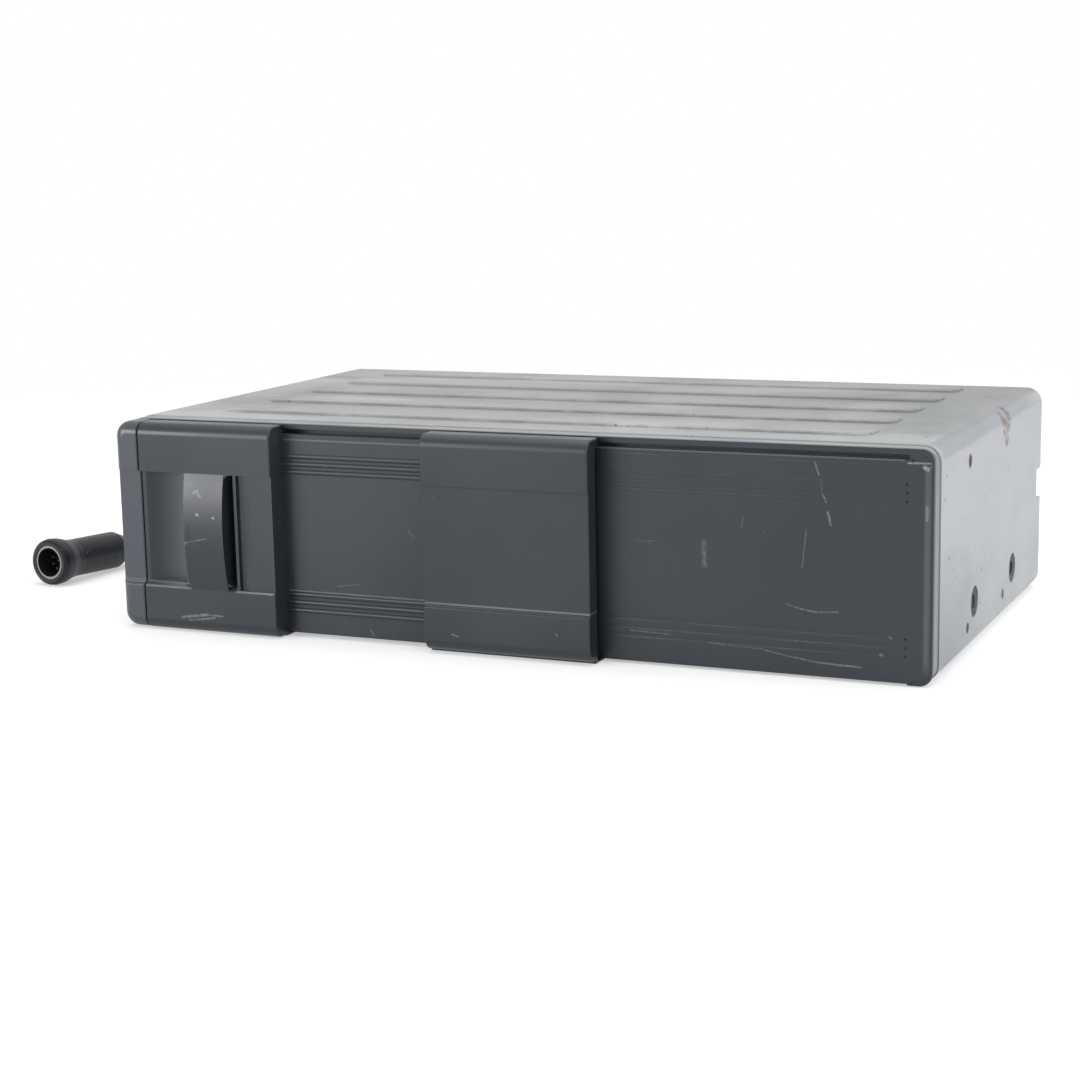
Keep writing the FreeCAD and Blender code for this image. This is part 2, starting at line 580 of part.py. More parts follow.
def front_frame():
    """Moulding with the left end cap, the fixed right panel and the rail bars of the door."""
    corner = BEND - RIM_STEP - RIM_WALL
    channel = (HOOK_BOTTOM_Z[0] - GAP, HOOK_TOP_Z[1] + GAP)
    flange_y = (FLANGE_FACE, RIM_FRONT - SEAT)
    flange = flange_outline(0, flange_y).cut(flange_outline(FLANGE_W, (FLANGE_FACE - 1, RIM_FRONT)))
    flange = flange.cut(box((-HALF_W, PANEL_END), (FLANGE_FACE - 1, RIM_FRONT), (0, channel[1])))
    flange = flange.cut(box((-HALF_W, CAP_RIGHT - 1), (FLANGE_FACE - 1, RIM_FRONT), (0, CASE_H)))
    root = box((-INNER_X, CAP_RIGHT), (CASE_FRONT - GAP, RING_REAR), INNER_Z)
    root = rounded(root, corner, "y", lambda c: c.x < 0)
    panel = box((-INNER_X, INNER_X - 1), (PANEL_FACE, PANEL_FACE + PANEL_T), (RAIL_BOTTOM, RAIL_TOP))
    panel = rounded(panel, corner, "y", lambda c: c.x < 0)
    panel = panel.cut(box((CAP_RIGHT - 1, PANEL_LEFT), (PANEL_FACE - 1, PANEL_FACE + PANEL_T + 1),
                          (RAIL_BOTTOM + RAIL_H, RAIL_TOP - RAIL_H)))
    panel = panel.cut(box((PANEL_END + 1, INNER_X), (PANEL_FACE - 1, RIM_FRONT), (0, CASE_H)))
    ring = rounded(box((-INNER_X, INNER_X), (RING_FRONT, RING_REAR), INNER_Z), corner, "y")
    ring = ring.cut(box((CAP_RIGHT, INNER_X - RING_WALL), (RING_FRONT - 1, RING_REAR + 1),
                        (INNER_Z[0] + RING_WALL, INNER_Z[1] - RING_WALL)))
    shell = rounded(box((-INNER_X, INNER_X), (FLANGE_FACE, RING_FRONT + 1), INNER_Z), corner, "y")
    shell = shell.cut(box((CAP_RIGHT, PANEL_END), (FLANGE_FACE - 1, RING_FRONT + 2), channel))
    shell = shell.cut(box((CAP_RIGHT, INNER_X - RING_WALL), (RIM_FRONT, RING_FRONT + 2),
                          (channel[0], INNER_Z[1] - RING_WALL)))
    groove = (COVER_X[1] + 2, COVER_X[1] + COVER_TRAVEL - 3)
    axis_y = PANEL_FACE + GROOVE_DEPTH - GROOVE_R
    grooves = [rod("x", GROOVE_R, (axis_y, z), groove) for z in RIB_Z]
    dots = [rod("y", DOT_R, (HALF_W - DOT_X, z), (PANEL_FACE - 1, PANEL_FACE + 0.4)) for z in RIB_Z]
    body = fuse([end_cap(), flange, root, panel, panel_end(), ring, shell])
    return body.cut(group(grooves + dots))


def slot_bezel():
    """Plate behind the door with the magazine slot and the opening of the eject button."""
    z = (INNER_Z[0] + RING_WALL + SEAT, INNER_Z[1] - RING_WALL - SEAT)
    plate = box((CAP_RIGHT + SEAT, INNER_X - RING_WALL - SEAT), (RING_FRONT, RING_FRONT + BEZEL_T), z)
    slot = box((MAG_X[0] - 0.5, MAG_X[1] + 0.5), (RING_FRONT - 1, RING_FRONT + 3),
               (MAG_BOTTOM - 0.5, MAG_TOP + 0.5))
    slot = rounded(slot, 1.5, "y")
    button = box((BUTTON_X[0] - GAP, BUTTON_X[1] + GAP), (RING_FRONT - 1, RING_FRONT + 3),
                 (BUTTON_Z[0] - GAP, BUTTON_Z[1] + GAP))
    return plate.cut(group([slot, button]))


def band_recess(x, face, depth):
    """Cutter for the flat between the raised bands; its lower edge is a slope."""
    profile = [(face - 1, BAND_BOTTOM_Z), (face, BAND_BOTTOM_Z), (face + depth, BAND_BOTTOM_Z + depth),
               (face + depth, BAND_TOP_Z), (face - 1, BAND_TOP_Z)]
    return prism(profile, "x", x)


def hook(x, front):
    """Lips of a door piece that run over and under the rail bars and turn in behind them."""
    rear = (PANEL_FACE + PANEL_T + GAP, HOOK_REAR)
    top = box(x, (front, HOOK_REAR), HOOK_TOP_Z)
    top_lip = box(x, rear, (RAIL_TOP - RAIL_H / 2, HOOK_TOP_Z[1]))
    low = box(x, (front - HOOK_ROOT, HOOK_REAR), HOOK_BOTTOM_Z)
    low_lip = box(x, rear, (HOOK_BOTTOM_Z[0], RAIL_BOTTOM + RAIL_H / 2))
    foot = box(x, (front - HOOK_ROOT, front), (HOOK_BOTTOM_Z[0], COVER_LOW + COVER_WALL / 2))
    return [top, top_lip, low, low_lip, foot]


def soft_end(shape, x, face, r=SIDE_R):
    """Rounds the front edges of a door piece at an end, with its bends over and under."""
    ends = [e for e in shape.Edges if abs(e.BoundBox.XMin - x) < 0.01 and abs(e.BoundBox.XMax - x) < 0.01
            and e.BoundBox.YMin < face + EDGE_R - 0.01 and e.BoundBox.YMax < face + EDGE_R + 0.1]
    return shape.makeFillet(r, ends)


def soft_steps(shape, x, face, depth):
    """Rounds the two bends of the slope where the lower band steps up, between two places along X."""
    bends = []
    for e in edges_along(shape, "x"):
        c = e.CenterOfMass
        away = min(math.hypot(c.y - face - d, c.z - BAND_BOTTOM_Z - d) for d in (0, depth))
        if x[0] < c.x < x[1] and away < 0.05:
            bends.append(e)
    return shape.makeFillet(min(STEP_R, 0.8 * depth), bends)


def bar_flare(x, side, end):
    """Fillet in the corner where the grip bar runs into a band."""
    z = BAND_TOP_Z if end > 0 else BAND_BOTTOM_Z + BAND_RISE
    r = BAR_FLARE
    block = box(sorted((x, x + side * r)), (BAND_PLANE - BAND_RISE, BAND_PLANE + 2), sorted((z, z - end * r)))
    return block.cut(rod("y", r, (x + side * r, z - end * r), (BAND_PLANE - BAND_RISE - 1, BAND_PLANE + 3)))


def sliding_door():
    """Ribbed panel and grip block in one: the block's top and bottom bands frame a grip bar."""
    x0, x1 = BLOCK_X
    panel = box((x1 - 1, DOOR_END), (DOOR_FACE, DOOR_REAR), DOOR_Z)
    ribs = [rod("x", RIB_R, (DOOR_FACE + RIB_R * 0.45, z), (x1 - 1, DOOR_END)) for z in RIB_Z]
    catch = box((CATCH_X, CATCH_X + 1.0), (DOOR_FACE - CATCH, DOOR_REAR), (BAND_BOTTOM_Z + 6, BAND_TOP_Z - 5))
    block = box((x0, x1), (BLOCK_FACE, DOOR_REAR), BLOCK_Z)
    block = rounded(block, EDGE_R, "x", lambda c: c.y < BLOCK_FACE + 0.1)
    block = soft_end(block, x1, BLOCK_FACE)
    behind = box((x0 - 1, x1 + 1), (CASE_FRONT - GAP, 0), (-1, CASE_H + 1))
    ridge = (POCKET_RIGHT, POCKET_RIGHT + RIDGE_W)
    # Right of the ridge the recess is deepest beside it and runs out to the right.
    hollow = prism([(ridge[1], BLOCK_FACE - 1), (x1 + 1, BLOCK_FACE - 1), (x1 + 1, BLOCK_FACE + SHALLOW),
                    (ridge[1] + 4 * GROOVE_W, BLOCK_FACE + SHALLOW + 0.1),
                    (ridge[1] + GROOVE_W, BLOCK_FACE + BAND_RISE), (ridge[1], BLOCK_FACE + BAND_RISE)],
                   "z", (BAND_BOTTOM_Z + SHALLOW, BAND_TOP_Z))
    block = block.cut(band_recess((x0 - 1, x1 + 1), BLOCK_FACE, SHALLOW))
    block = block.cut(band_recess((x0 - 1, POCKET_RIGHT), BLOCK_FACE, BAND_RISE))
    block = soft_end(block.cut(group([behind, hollow])), x0, BLOCK_FACE, SEAM_R)
    # The scoop deepens to the right up to the bar; a straight pocket lies on the bar's right.
    floor_y = BLOCK_FACE + SCOOP_DEPTH
    left, right = x0 + 1.5, BAR_X[0]
    z = BAND_BOTTOM_Z + BAND_RISE
    curve = Part.Arc(V(left, BAND_PLANE, z), V((left + right) / 2, BAND_PLANE + 0.62 * SCOOP_DEPTH, z),
                     V(right, floor_y, z)).toShape()
    sides = Part.makePolygon([V(right, floor_y, z), V(right, BAND_PLANE - 2, z),
                              V(left, BAND_PLANE - 2, z), V(left, BAND_PLANE, z)])
    scoop = Part.Face(Part.Wire([curve, sides])).extrude(V(0, 0, BAND_TOP_Z - z))
    pocket = box((BAR_X[1], POCKET_RIGHT), (BLOCK_FACE - 1, floor_y), (z, BAND_TOP_Z))
    block = block.cut(group([scoop, pocket]))
    mid = (BAND_TOP_Z + BAND_BOTTOM_Z) / 2
    x = BAR_X[0]
    low, high = V(x, BLOCK_FACE, BAND_BOTTOM_Z), V(x, BLOCK_FACE, BAND_TOP_Z)
    belly = Part.Arc(low, V(x, BLOCK_FACE - BAR_BELLY, mid), high).toShape()
    root = Part.makePolygon([high, V(x, floor_y + 0.5, BAND_TOP_Z), V(x, floor_y + 0.5, BAND_BOTTOM_Z), low])
    bar = Part.Face(Part.Wire([belly, root])).extrude(V(BAR_X[1] - x, 0, 0))
    flares = [bar_flare(x, side, end) for x, side in zip(BAR_X, (-1, 1)) for end in (-1, 1)]
    return fuse([block, bar, panel, catch] + flares + ribs + hook((x0, x1), CASE_FRONT - GAP))


def centre_cover():
    """Hollow cover that rides over the ribbed panel and on in front of the fixed panel."""
    x0, x1 = COVER_X
    shell = box((x0, x1), (COVER_FACE, CASE_FRONT - GAP), COVER_Z)
    shell = rounded(shell, EDGE_R, "x", lambda c: c.y < COVER_FACE + 0.1)
    shell = soft_steps(shell.cut(band_recess((x0 - 1, x1 + 1), COVER_FACE, COVER_RECESS)), COVER_X,
                       COVER_FACE, COVER_RECESS)
    shell = soft_end(soft_end(shell, x0, COVER_FACE), x1, COVER_FACE)
    hollow = box((x0 + COVER_WALL, x1 - COVER_WALL), (COVER_FACE + COVER_FRONT_T + COVER_RECESS, 0),
                 (COVER_LOW + COVER_WALL, HOOK_TOP_Z[0]))
    track = box((x0 - 1, x1 + 1), (DOOR_FACE - RIB_R, 0), (0, HOOK_TOP_Z[0]))
    return fuse([shell.cut(group([hollow, track]))] + hook((x0, x1), DOOR_FACE - RIB_R))


# ---------------------------------------------------------------- magazine and its bay
def disc(level, x=DISC_X):
    z = DISC_Z + level * DISC_PITCH
    return tube("z", DISC_R, DISC_HOLE_R, (x, DISC_Y), (z, z + DISC_T))


def tray(level):
    """Thin tray: a shallow seat for the disc, with a slot for turntable and pickup."""
    z = TRAY_Z + level * DISC_PITCH
    x = (DISC_X - TRAY_R, DISC_X + TRAY_R)
    plate = bevelled(box(x, (TRAY_FRONT, TRAY_REAR), (z, z + TRAY_T)), 12.0, "z")
    seat = rod("z", DISC_R + 0.4, (DISC_X, DISC_Y), (z + TRAY_FLOOR, z + TRAY_T + 1))
    eye = rod("z", TRAY_SLOT / 2, (DISC_X, DISC_Y), (z - 1, z + TRAY_T + 1))
    slot = box((DISC_X - TRAY_SLOT / 2, DISC_X + TRAY_SLOT / 2), (TRAY_FRONT - 1, DISC_Y),
               (z - 1, z + TRAY_T + 1))
    return plate.cut(group([seat, eye, slot]))


def magazine_shell():
    """Case of the magazine: closed at the front, left and rear, its right side open for the trays."""
    x0, x1 = MAG_X
    y = (MAG_FACE, MAG_INNER_REAR + MAG_WALL)
    body = box((x0, x1), y, (MAG_BOTTOM, MAG_TOP))
    body = rounded(body, 3.0, "z", lambda c: c.x < x0 + 0.1)
    inside = box((x0 + MAG_WALL, x1 + 1), (MAG_INNER_FRONT, MAG_INNER_REAR),
                 (TRAY_Z - GAP, MAG_TOP - MAG_WALL))
    front = box((x0 + MAG_WALL, x1 - MAG_WALL), (MAG_FACE + MAG_WALL, MAG_INNER_FRONT - MAG_WALL),
                (TRAY_Z - GAP, MAG_TOP + 1))
    lip = box((x0 + 8, x1 - 8), (MAG_FACE - 1, MAG_FACE + 0.8), (MAG_TOP - 7, MAG_TOP - 4))
    # The tooth swings forward as it leaves the notch, so the notch is longer that way.
    notch_y = (LATCH_PIVOT[1] + LATCH_REACH[0] - 2.5, LATCH_PIVOT[1] + LATCH_REACH[1] + GAP)
    notch = box((x1 - 2.3, x1 + 1), notch_y, (MAG_BOTTOM - 1, MAG_BOTTOM + 2))
    ribs = []
    for k in range(DISC_COUNT - 1):
        z = (TRAY_Z + k * DISC_PITCH + TRAY_T + GAP, TRAY_Z + (k + 1) * DISC_PITCH - GAP)
        ribs.append(box((x0 + 1, x1), (MAG_INNER_FRONT - 0.5, TRAY_FRONT + 0.7), z))
        ribs.append(box((x0 + 1, x1), (TRAY_REAR - 0.7, MAG_INNER_REAR + 0.5), z))
    return fuse([body.cut(group([inside, front, lip, notch]))] + ribs)


def magazine_guide():
    """Moulded cradle that the magazine slides on, with its left wall and four legs."""
    top = MAG_BOTTOM - SEAT
    floor = box((MAG_X[0] - 2, MAG_X[1] - 4), GUIDE_Y, (top - GUIDE_T, top))
    window = box((DISC_X - GUIDE_WINDOW_X, DISC_X + GUIDE_WINDOW_X),
                 (DISC_Y - GUIDE_WINDOW_Y, DISC_Y + GUIDE_WINDOW_Y), (top - 2 * GUIDE_T, top + GUIDE_T))
    wall = box((MAG_X[0] - 2, MAG_X[0] - GAP), GUIDE_Y, (top - GUIDE_T, top + GUIDE_WALL_H))
    legs = [box((x, x + GUIDE_LEG), (y, y + GUIDE_LEG), (CHASSIS_Z + CHASSIS_T, top - GUIDE_T / 2))
            for x in (MAG_X[0] - 2, MAG_X[1] - 2 * GUIDE_LEG) for y in GUIDE_LEG_Y]
    return fuse([floor.cut(window), wall] + legs)


# ---------------------------------------------------------------- mechanism chassis and board
def mech_chassis():
    """Bent steel chassis: base, slotted front and rear walls, pivot post and board standoffs."""
    top = CHASSIS_Z + CHASSIS_T
    base = box((CHASSIS_LEFT, WALL_X[1]), (WALL_FRONT - CHASSIS_T, WALL_REAR + CHASSIS_T), (CHASSIS_Z, top))
    walls = [box(WALL_X, (WALL_FRONT - CHASSIS_T, WALL_FRONT), (CHASSIS_Z, CHASSIS_TOP)),
             box(WALL_X, (WALL_REAR, WALL_REAR + CHASSIS_T), (CHASSIS_Z, CHASSIS_TOP))]
    walls = [bevelled(w, 6.0, "y", lambda c: c.z > CHASSIS_TOP - 1) for w in walls]
    across = (WALL_FRONT - 3, WALL_REAR + 3)
    cuts = [box((x - PIN_R - GAP, x + PIN_R + GAP), across, (PIN_Z - PIN_R - GAP, PIN_Z + LIFT + PIN_R + GAP))
            for x in PIN_X]
    cuts.append(rod("y", SHAFT_R + RUN, (SHAFT_X, SHAFT_Z), across))
    cuts.append(rod("y", MOTOR_BOSS_R + SEAT, (MOTOR_X, TOP_PINION_Z), (WALL_FRONT - 3, WALL_FRONT + 3)))
    post = rod("z", POST_R, LATCH_PIVOT, (top, PLUNGER_Z + 1.4))
    bracket = box((PLUNGER_X - 3, PLUNGER_X + 3), BRACKET_PLATE_Y, (top, TRAY_Z - 0.5))
    bracket = bracket.cut(rod("y", PLUNGER_R + RUN, (PLUNGER_X, PLUNGER_Z), (TAIL_Y, LATCH_PIVOT[1])))
    standoffs = [rod("z", STANDOFF_R, (x, y), (top, BOARD_Z))
                 for x in (BOARD_X[0] + 5, BOARD_X[1] - 5) for y in (BOARD_Y[0] + 5, BOARD_Y[1] - 5)]
    return fuse([base] + walls + [post, bracket] + standoffs).cut(group(cuts))


def damper_pads():
    """Rubber spools that float the mechanism on the underside."""
    pads = []
    for x in (-PAD_X, PAD_X):
        for y in PAD_Y:
            spool = rod("z", 5.0, (x, y), (SHEET, CHASSIS_Z))
            pads.append(spool.cut(tube("z", 6.0, 3.8, (x, y), (SHEET + 1, CHASSIS_Z - 1))))
    return group(pads)


def main_board():
    """Main circuit board under the magazine with its larger parts."""
    top = BOARD_Z + BOARD_T
    board = box(BOARD_X, BOARD_Y, (BOARD_Z, top))
    x0, y0 = BOARD_X[0], BOARD_Y[0]
    chips = [box((x0 + x[0], x0 + x[1]), (y0 + y[0], y0 + y[1]), (top, top + CHIP_H)) for x, y in CHIPS]
    cans = [rod("z", CAN_R, (x0 + x, y0 + y), (top, top + CAN_H)) for x, y in CAN_AT]
    return fuse([board] + chips + cans)


# ---------------------------------------------------------------- lift
def gear_outline(teeth, module, ded, centre_angle):
    """Outline points of an involute gear; a tooth is centred on the given angle."""
    pitch_r = teeth * module / 2
    base_r = pitch_r * math.cos(math.radians(20))
    tip_r = pitch_r + module
    root_r = pitch_r - ded
    involute = math.tan(math.radians(20)) - math.radians(20)
    half = math.pi / (2 * teeth) - BACKLASH / (2 * pitch_r) + involute

    def flank(r):
        roll = math.acos(min(1.0, base_r / r))
        return half - (math.tan(roll) - roll)
    points = []
    mid_r = (base_r + tip_r) / 2
    for i in range(teeth):
        a = centre_angle + 2 * math.pi * i / teeth
        left = [(root_r, flank(base_r))] + [(r, flank(r)) for r in (base_r, mid_r, tip_r)]
        for r, off in left:
            points.append((r * math.cos(a - off), r * math.sin(a - off)))
        for r, off in reversed(left):
            points.append((r * math.cos(a + off), r * math.sin(a + off)))
    return points


def pinion(x, z, y, up):
    """Pinion on a Y axis; a tooth points up or down into the rack."""
    outline = gear_outline(PINION_TEETH, MODULE, 0.75, math.pi / 2 if up else -math.pi / 2)
    return prism([(x + px, z + pz) for px, pz in outline], "y", y)


def rack_teeth(x_mid, z_root, y, up):
    """Rack teeth with a gap centred on x_mid, standing on the plate's edge."""
    side = 1 if up else -1
    pitch_z = z_root + side * RACK_DED
    slope = math.tan(math.radians(20))
    half = RACK_PITCH / 4 - BACKLASH / 2
    teeth = []
    for i in range(-RACK_TEETH // 2, RACK_TEETH // 2):
        x = x_mid + (i + 0.5) * RACK_PITCH
        root = half + slope * RACK_DED
        tip = half - slope * RACK_ADD
        z_tip = pitch_z + side * RACK_ADD
        inner = z_root - side * 0.4
        teeth.append(prism([(x - root, inner), (x - root, z_root), (x - tip, z_tip),
                            (x + tip, z_tip), (x + root, z_root), (x + root, inner)], "y", y))
    return teeth


def cam_plate(y, driven):
    """Sliding plate with two sloping slots that raise the deck's pins, racked along its edges."""
    plate = box(CAM_X, y, CAM_Z)
    cuts = []
    for x in PIN_X:
        r = PIN_R + GAP / 2
        low = (x, PIN_Z)
        high = (x - CAM_TRAVEL, PIN_Z + LIFT)
        length = math.hypot(CAM_TRAVEL, LIFT)
        nx, nz = LIFT / length * r, CAM_TRAVEL / length * r
        span = (y[0] - 1, y[1] + 1)
        cuts.append(prism([(low[0] - nx, low[1] - nz), (low[0] + nx, low[1] + nz),
                           (high[0] + nx, high[1] + nz), (high[0] - nx, high[1] - nz)], "y", span))
        cuts += [rod("y", r, low, span), rod("y", r, high, span)]
    plate = plate.cut(group(cuts))
    teeth = rack_teeth(SHAFT_X - 4 * RACK_PITCH, CAM_Z[0], y, False)
    if driven:
        teeth += rack_teeth(MOTOR_X - 4 * RACK_PITCH, CAM_Z[1], y, True)
    return fuse([plate] + teeth)


def lift_shaft():
    """Cross shaft with a pinion at each end: it keeps both cam plates level."""
    front = (CAM_FRONT - CAM_T - 0.9, CAM_FRONT + 0.1)
    rear = (CAM_REAR - 0.1, CAM_REAR + CAM_T + 0.9)
    return fuse([rod("y", SHAFT_R, (SHAFT_X, SHAFT_Z), (front[0], rear[1])),
                 pinion(SHAFT_X, SHAFT_Z, front, True), pinion(SHAFT_X, SHAFT_Z, rear, True)])


def lift_motor():
    """Motor can behind the chassis's front wall, its boss in the wall's hole."""
    axis = (MOTOR_X, TOP_PINION_Z)
    rear = WALL_FRONT + LIFT_MOTOR_LENGTH
    body = rod("y", LIFT_MOTOR_R, axis, (WALL_FRONT, rear))
    boss = rod("y", MOTOR_BOSS_R, axis, (WALL_FRONT - CHASSIS_T, WALL_FRONT + 1))
    end = rod("y", 2.0, axis, (rear - 1, rear + 1.5))
    hole = rod("y", MOTOR_SHAFT_R + RUN, axis, (WALL_FRONT - 2 * CHASSIS_T, WALL_FRONT + MOTOR_SHAFT_IN + 1))
    return fuse([body, boss, end]).cut(hole)


def lift_pinion():
    """Pinion on the lift motor's shaft."""
    y = (CAM_FRONT - CAM_T - 0.9, CAM_FRONT + 0.1)
    shaft = rod("y", MOTOR_SHAFT_R, (MOTOR_X, TOP_PINION_Z), (y[0], WALL_FRONT + MOTOR_SHAFT_IN))
    return fuse([shaft, pinion(MOTOR_X, TOP_PINION_Z, y, False)])


# ---------------------------------------------------------------- play deck
def play_deck():
    """Steel deck with flanges, lift pins, posts for the pickup chassis and the clamp's tab."""
    plate = box(DECK_X, (FLANGE_FRONT - FLANGE_T, FLANGE_REAR + FLANGE_T), (DECK_Z, DECK_TOP))
    opening = box((FRAME_X[0] - 1, FRAME_X[1] + 1), (FRAME_Y[0] - WALL_GAP, FRAME_Y[1] + WALL_GAP),
                  (DECK_Z - 1, DECK_TOP + 1))
    flange_z = (DECK_Z, PIN_Z + 3)
    front = box(FLANGE_X, (FLANGE_FRONT - FLANGE_T, FLANGE_FRONT), flange_z)
    rear = box(FLANGE_X, (FLANGE_REAR, FLANGE_REAR + FLANGE_T), flange_z)
    tab = box((SPINDLE_X - BRIDGE_W / 2, SPINDLE_X + BRIDGE_W / 2),
              (FLANGE_REAR - TAB_DEPTH, FLANGE_REAR + FLANGE_T), (BRIDGE_Z - BRIDGE_T, BRIDGE_Z))
    pins = []
    for x in PIN_X:
        pins.append(rod("y", PIN_R, (x, PIN_Z), (CAM_FRONT - CAM_T - 0.1, FLANGE_FRONT - FLANGE_T / 2)))
        pins.append(rod("y", PIN_R, (x, PIN_Z), (FLANGE_REAR + FLANGE_T / 2, CAM_REAR + CAM_T + 0.1)))
    posts = [rod("z", POST_R, (x, y), (DECK_Z, POST_TOP)) for x in POST_X for y in POST_Y]
    return fuse([plate.cut(opening), front, rear, tab] + pins + posts)


def clamp_bridge():
    """Flat arm over the disc that holds the clamping puck above the spindle."""
    arm = box((SPINDLE_X - BRIDGE_W / 2, SPINDLE_X + BRIDGE_W / 2), (DISC_Y - PUCK_R, FLANGE_REAR + FLANGE_T),
              (BRIDGE_Z, BRIDGE_Z + BRIDGE_T))
    arm = bevelled(arm, BRIDGE_CORNER, "z", lambda c: c.y < DISC_Y)
    return arm.cut(rod("z", BRIDGE_HOLE_R, SPINDLE, (BRIDGE_Z - BRIDGE_T, BRIDGE_Z + 2 * BRIDGE_T)))


def clamp_puck():
    """Puck that hangs in the bridge by its cap and presses the disc when the spindle rises."""
    top = BRIDGE_Z + BRIDGE_T + GAP
    face = BRIDGE_Z - PUCK_DROP
    return fuse([rod("z", PUCK_R, SPINDLE, (face - PUCK_T, face)),
                 rod("z", PUCK_NECK_R, SPINDLE, (face - PUCK_T / 2, top + PUCK_CAP_T / 2)),
                 rod("z", PUCK_CAP_R, SPINDLE, (top, top + PUCK_CAP_T))])


def pickup_chassis():
    """Moulded frame that carries turntable, rods and pickup; it rises on the deck's posts."""
    rod_z = (BEARER_LOW, DECK_TOP)
    through = (DECK_Z - 5, DECK_TOP + 5)
    plate = box(FRAME_X, FRAME_Y, (DECK_Z, DECK_TOP))
    window = box((SPINDLE_X - SLED_W / 2 - 1.5, FRAME_X[1] - 1), (FRAME_Y[0] + 1, ROD_END - 1.3), through)
    motor = box((SCREW_X - SLED_MOTOR_R - GAP, FRAME_X[1] + 1),
                (SCREW_END - 1, SCREW_END + GAP + SLED_MOTOR_LENGTH + 1), through)
    hub = rod("z", 3.0, SPINDLE, through)
    lugs = []
    holes = []
    for edge, side in zip(FRAME_X, (-1, 1)):
        for y in POST_Y:
            span = (y - LUG_HALF, y + LUG_HALF)
            top = DECK_TOP + LUG_RISE
            inner = edge - side * 1.2
            lugs.append(box(sorted((edge, inner)), span, (DECK_Z, top)))
            lugs.append(box(sorted((inner, edge + side * 2 * POST_OUT)), span, (DECK_TOP + GAP, top)))
            holes.append(rod("z", POST_R + RUN, (edge + side * POST_OUT, y), (DECK_Z, top + 1)))
    bearers = [box((window.BoundBox.XMin, FRAME_X[1]), (FRAME_Y[0], FRAME_Y[0] + BEARER_T), rod_z),
               box((window.BoundBox.XMin, motor.BoundBox.XMin), (ROD_END - BEARER_T, ROD_END), rod_z)]
    frame = fuse([plate.cut(group([window, motor, hub]))] + lugs + bearers)
    return frame.cut(group(holes + sled_rod_list(ROD_R) + [screw_core(SCREW_R + RUN)]))


def sled_rod_list(r):
    return [rod("y", r, (SPINDLE_X + s * ROD_OFFSET, ROD_Z), (FRAME_Y[0], ROD_END)) for s in (-1, 1)]


def sled_rods():
    """Two ground rods that the pickup sled runs on."""
    return group(sled_rod_list(ROD_R))


def screw_core(r):
    return rod("y", r, (SCREW_X, LEAD_SCREW_Z), (FRAME_Y[0], SCREW_END))


def sled_screw():
    """Lead screw of the pickup sled, with turned grooves for its thread."""
    first = FRAME_Y[0] + SCREW_PITCH / 2 + BEARER_T
    grooves = [tube("y", SCREW_R + 1, SCREW_R - 0.3, (SCREW_X, LEAD_SCREW_Z), (y, y + SCREW_PITCH / 2))
               for y in [first + i * SCREW_PITCH for i in range(SCREW_GROOVES)]]
    return screw_core(SCREW_R).cut(group(grooves))


def sled_motor():
    """Small motor that turns the lead screw."""
    axis = (SCREW_X, LEAD_SCREW_Z)
    front = SCREW_END + GAP
    rear = front + SLED_MOTOR_LENGTH
    return fuse([rod("y", SLED_MOTOR_R, axis, (front, rear)),
                 rod("y", SLED_BOSS_R, axis, (rear - SLED_BOSS, rear + SLED_BOSS))])


def spindle_motor():
    """Flat motor under the chassis; its shaft carries the turntable."""
    return fuse([rod("z", MOTOR_R, SPINDLE, (MOTOR_LOW, DECK_Z)),
                 rod("z", SPINDLE_R, SPINDLE, (DECK_Z - 1, SEAT_Z + 1))])


def turntable():
    """Disc support with its centring cone."""
    plate = rod("z", TURNTABLE_R, SPINDLE, (SEAT_Z - 1.8, SEAT_Z))
    cone = Part.makeCone(DISC_HOLE_R - 0.2, DISC_HOLE_R - 1.6, 1.4, V(SPINDLE_X, DISC_Y, SEAT_Z))
    hub = rod("z", 2.4, SPINDLE, (DECK_TOP + 0.4, SEAT_Z))
    return fuse([plate, cone, hub]).cut(rod("z", SPINDLE_R + RUN, SPINDLE, (0, SEAT_Z + 1 + RUN)))


def pickup_sled():
    """Carriage of the laser pickup, on its two rods, with a follower beside the screw."""
    side = SPINDLE_X + SLED_W / 2
    body = box((side - SLED_W, side), (LENS_Y + SLED_AT[0], LENS_Y + SLED_AT[1]), SLED_Z)
    body = rounded(body, 1.5, "z")
    follower = box((side - 1, SCREW_X - SCREW_R - 0.15), (LENS_Y - 2, LENS_Y + 2),
                   (LEAD_SCREW_Z - 0.8, LEAD_SCREW_Z + 0.8))
    return fuse([body, follower]).cut(group(sled_rod_list(ROD_R + RUN)))


def pickup_lens():
    """Lens in its round holder on the sled."""
    ring = rod("z", 3.4, (SPINDLE_X, LENS_Y), (SLED_Z[1], SLED_Z[1] + 1.2))
    dome = Part.makeCone(2.6, 1.8, 0.7, V(SPINDLE_X, LENS_Y, SLED_Z[1] + 1.2))
    return fuse([ring, dome])


# ---------------------------------------------------------------- eject button and latch
def eject_button():
    """Button in the slot plate; its tail plate carries the plunger that works the latch."""
    x, z = BUTTON_X, BUTTON_Z
    cap = box(x, (RING_FRONT - 1.8, RING_FRONT + 1.8), z)
    cap = rounded(cap, 1.0, "z", lambda c: c.y < RING_FRONT)
    tail_y = (TAIL_Y, TAIL_Y + TAIL_T)
    tail = box((x[0] - 0.6, PLUNGER_X + 2), tail_y, (PLUNGER_Z - 2, z[1] + 1.0))
    plunger = rod("y", PLUNGER_R, (PLUNGER_X, PLUNGER_Z), (tail_y[0], LATCH_PIVOT[1] - 1.9))
    return fuse([cap, tail, plunger])


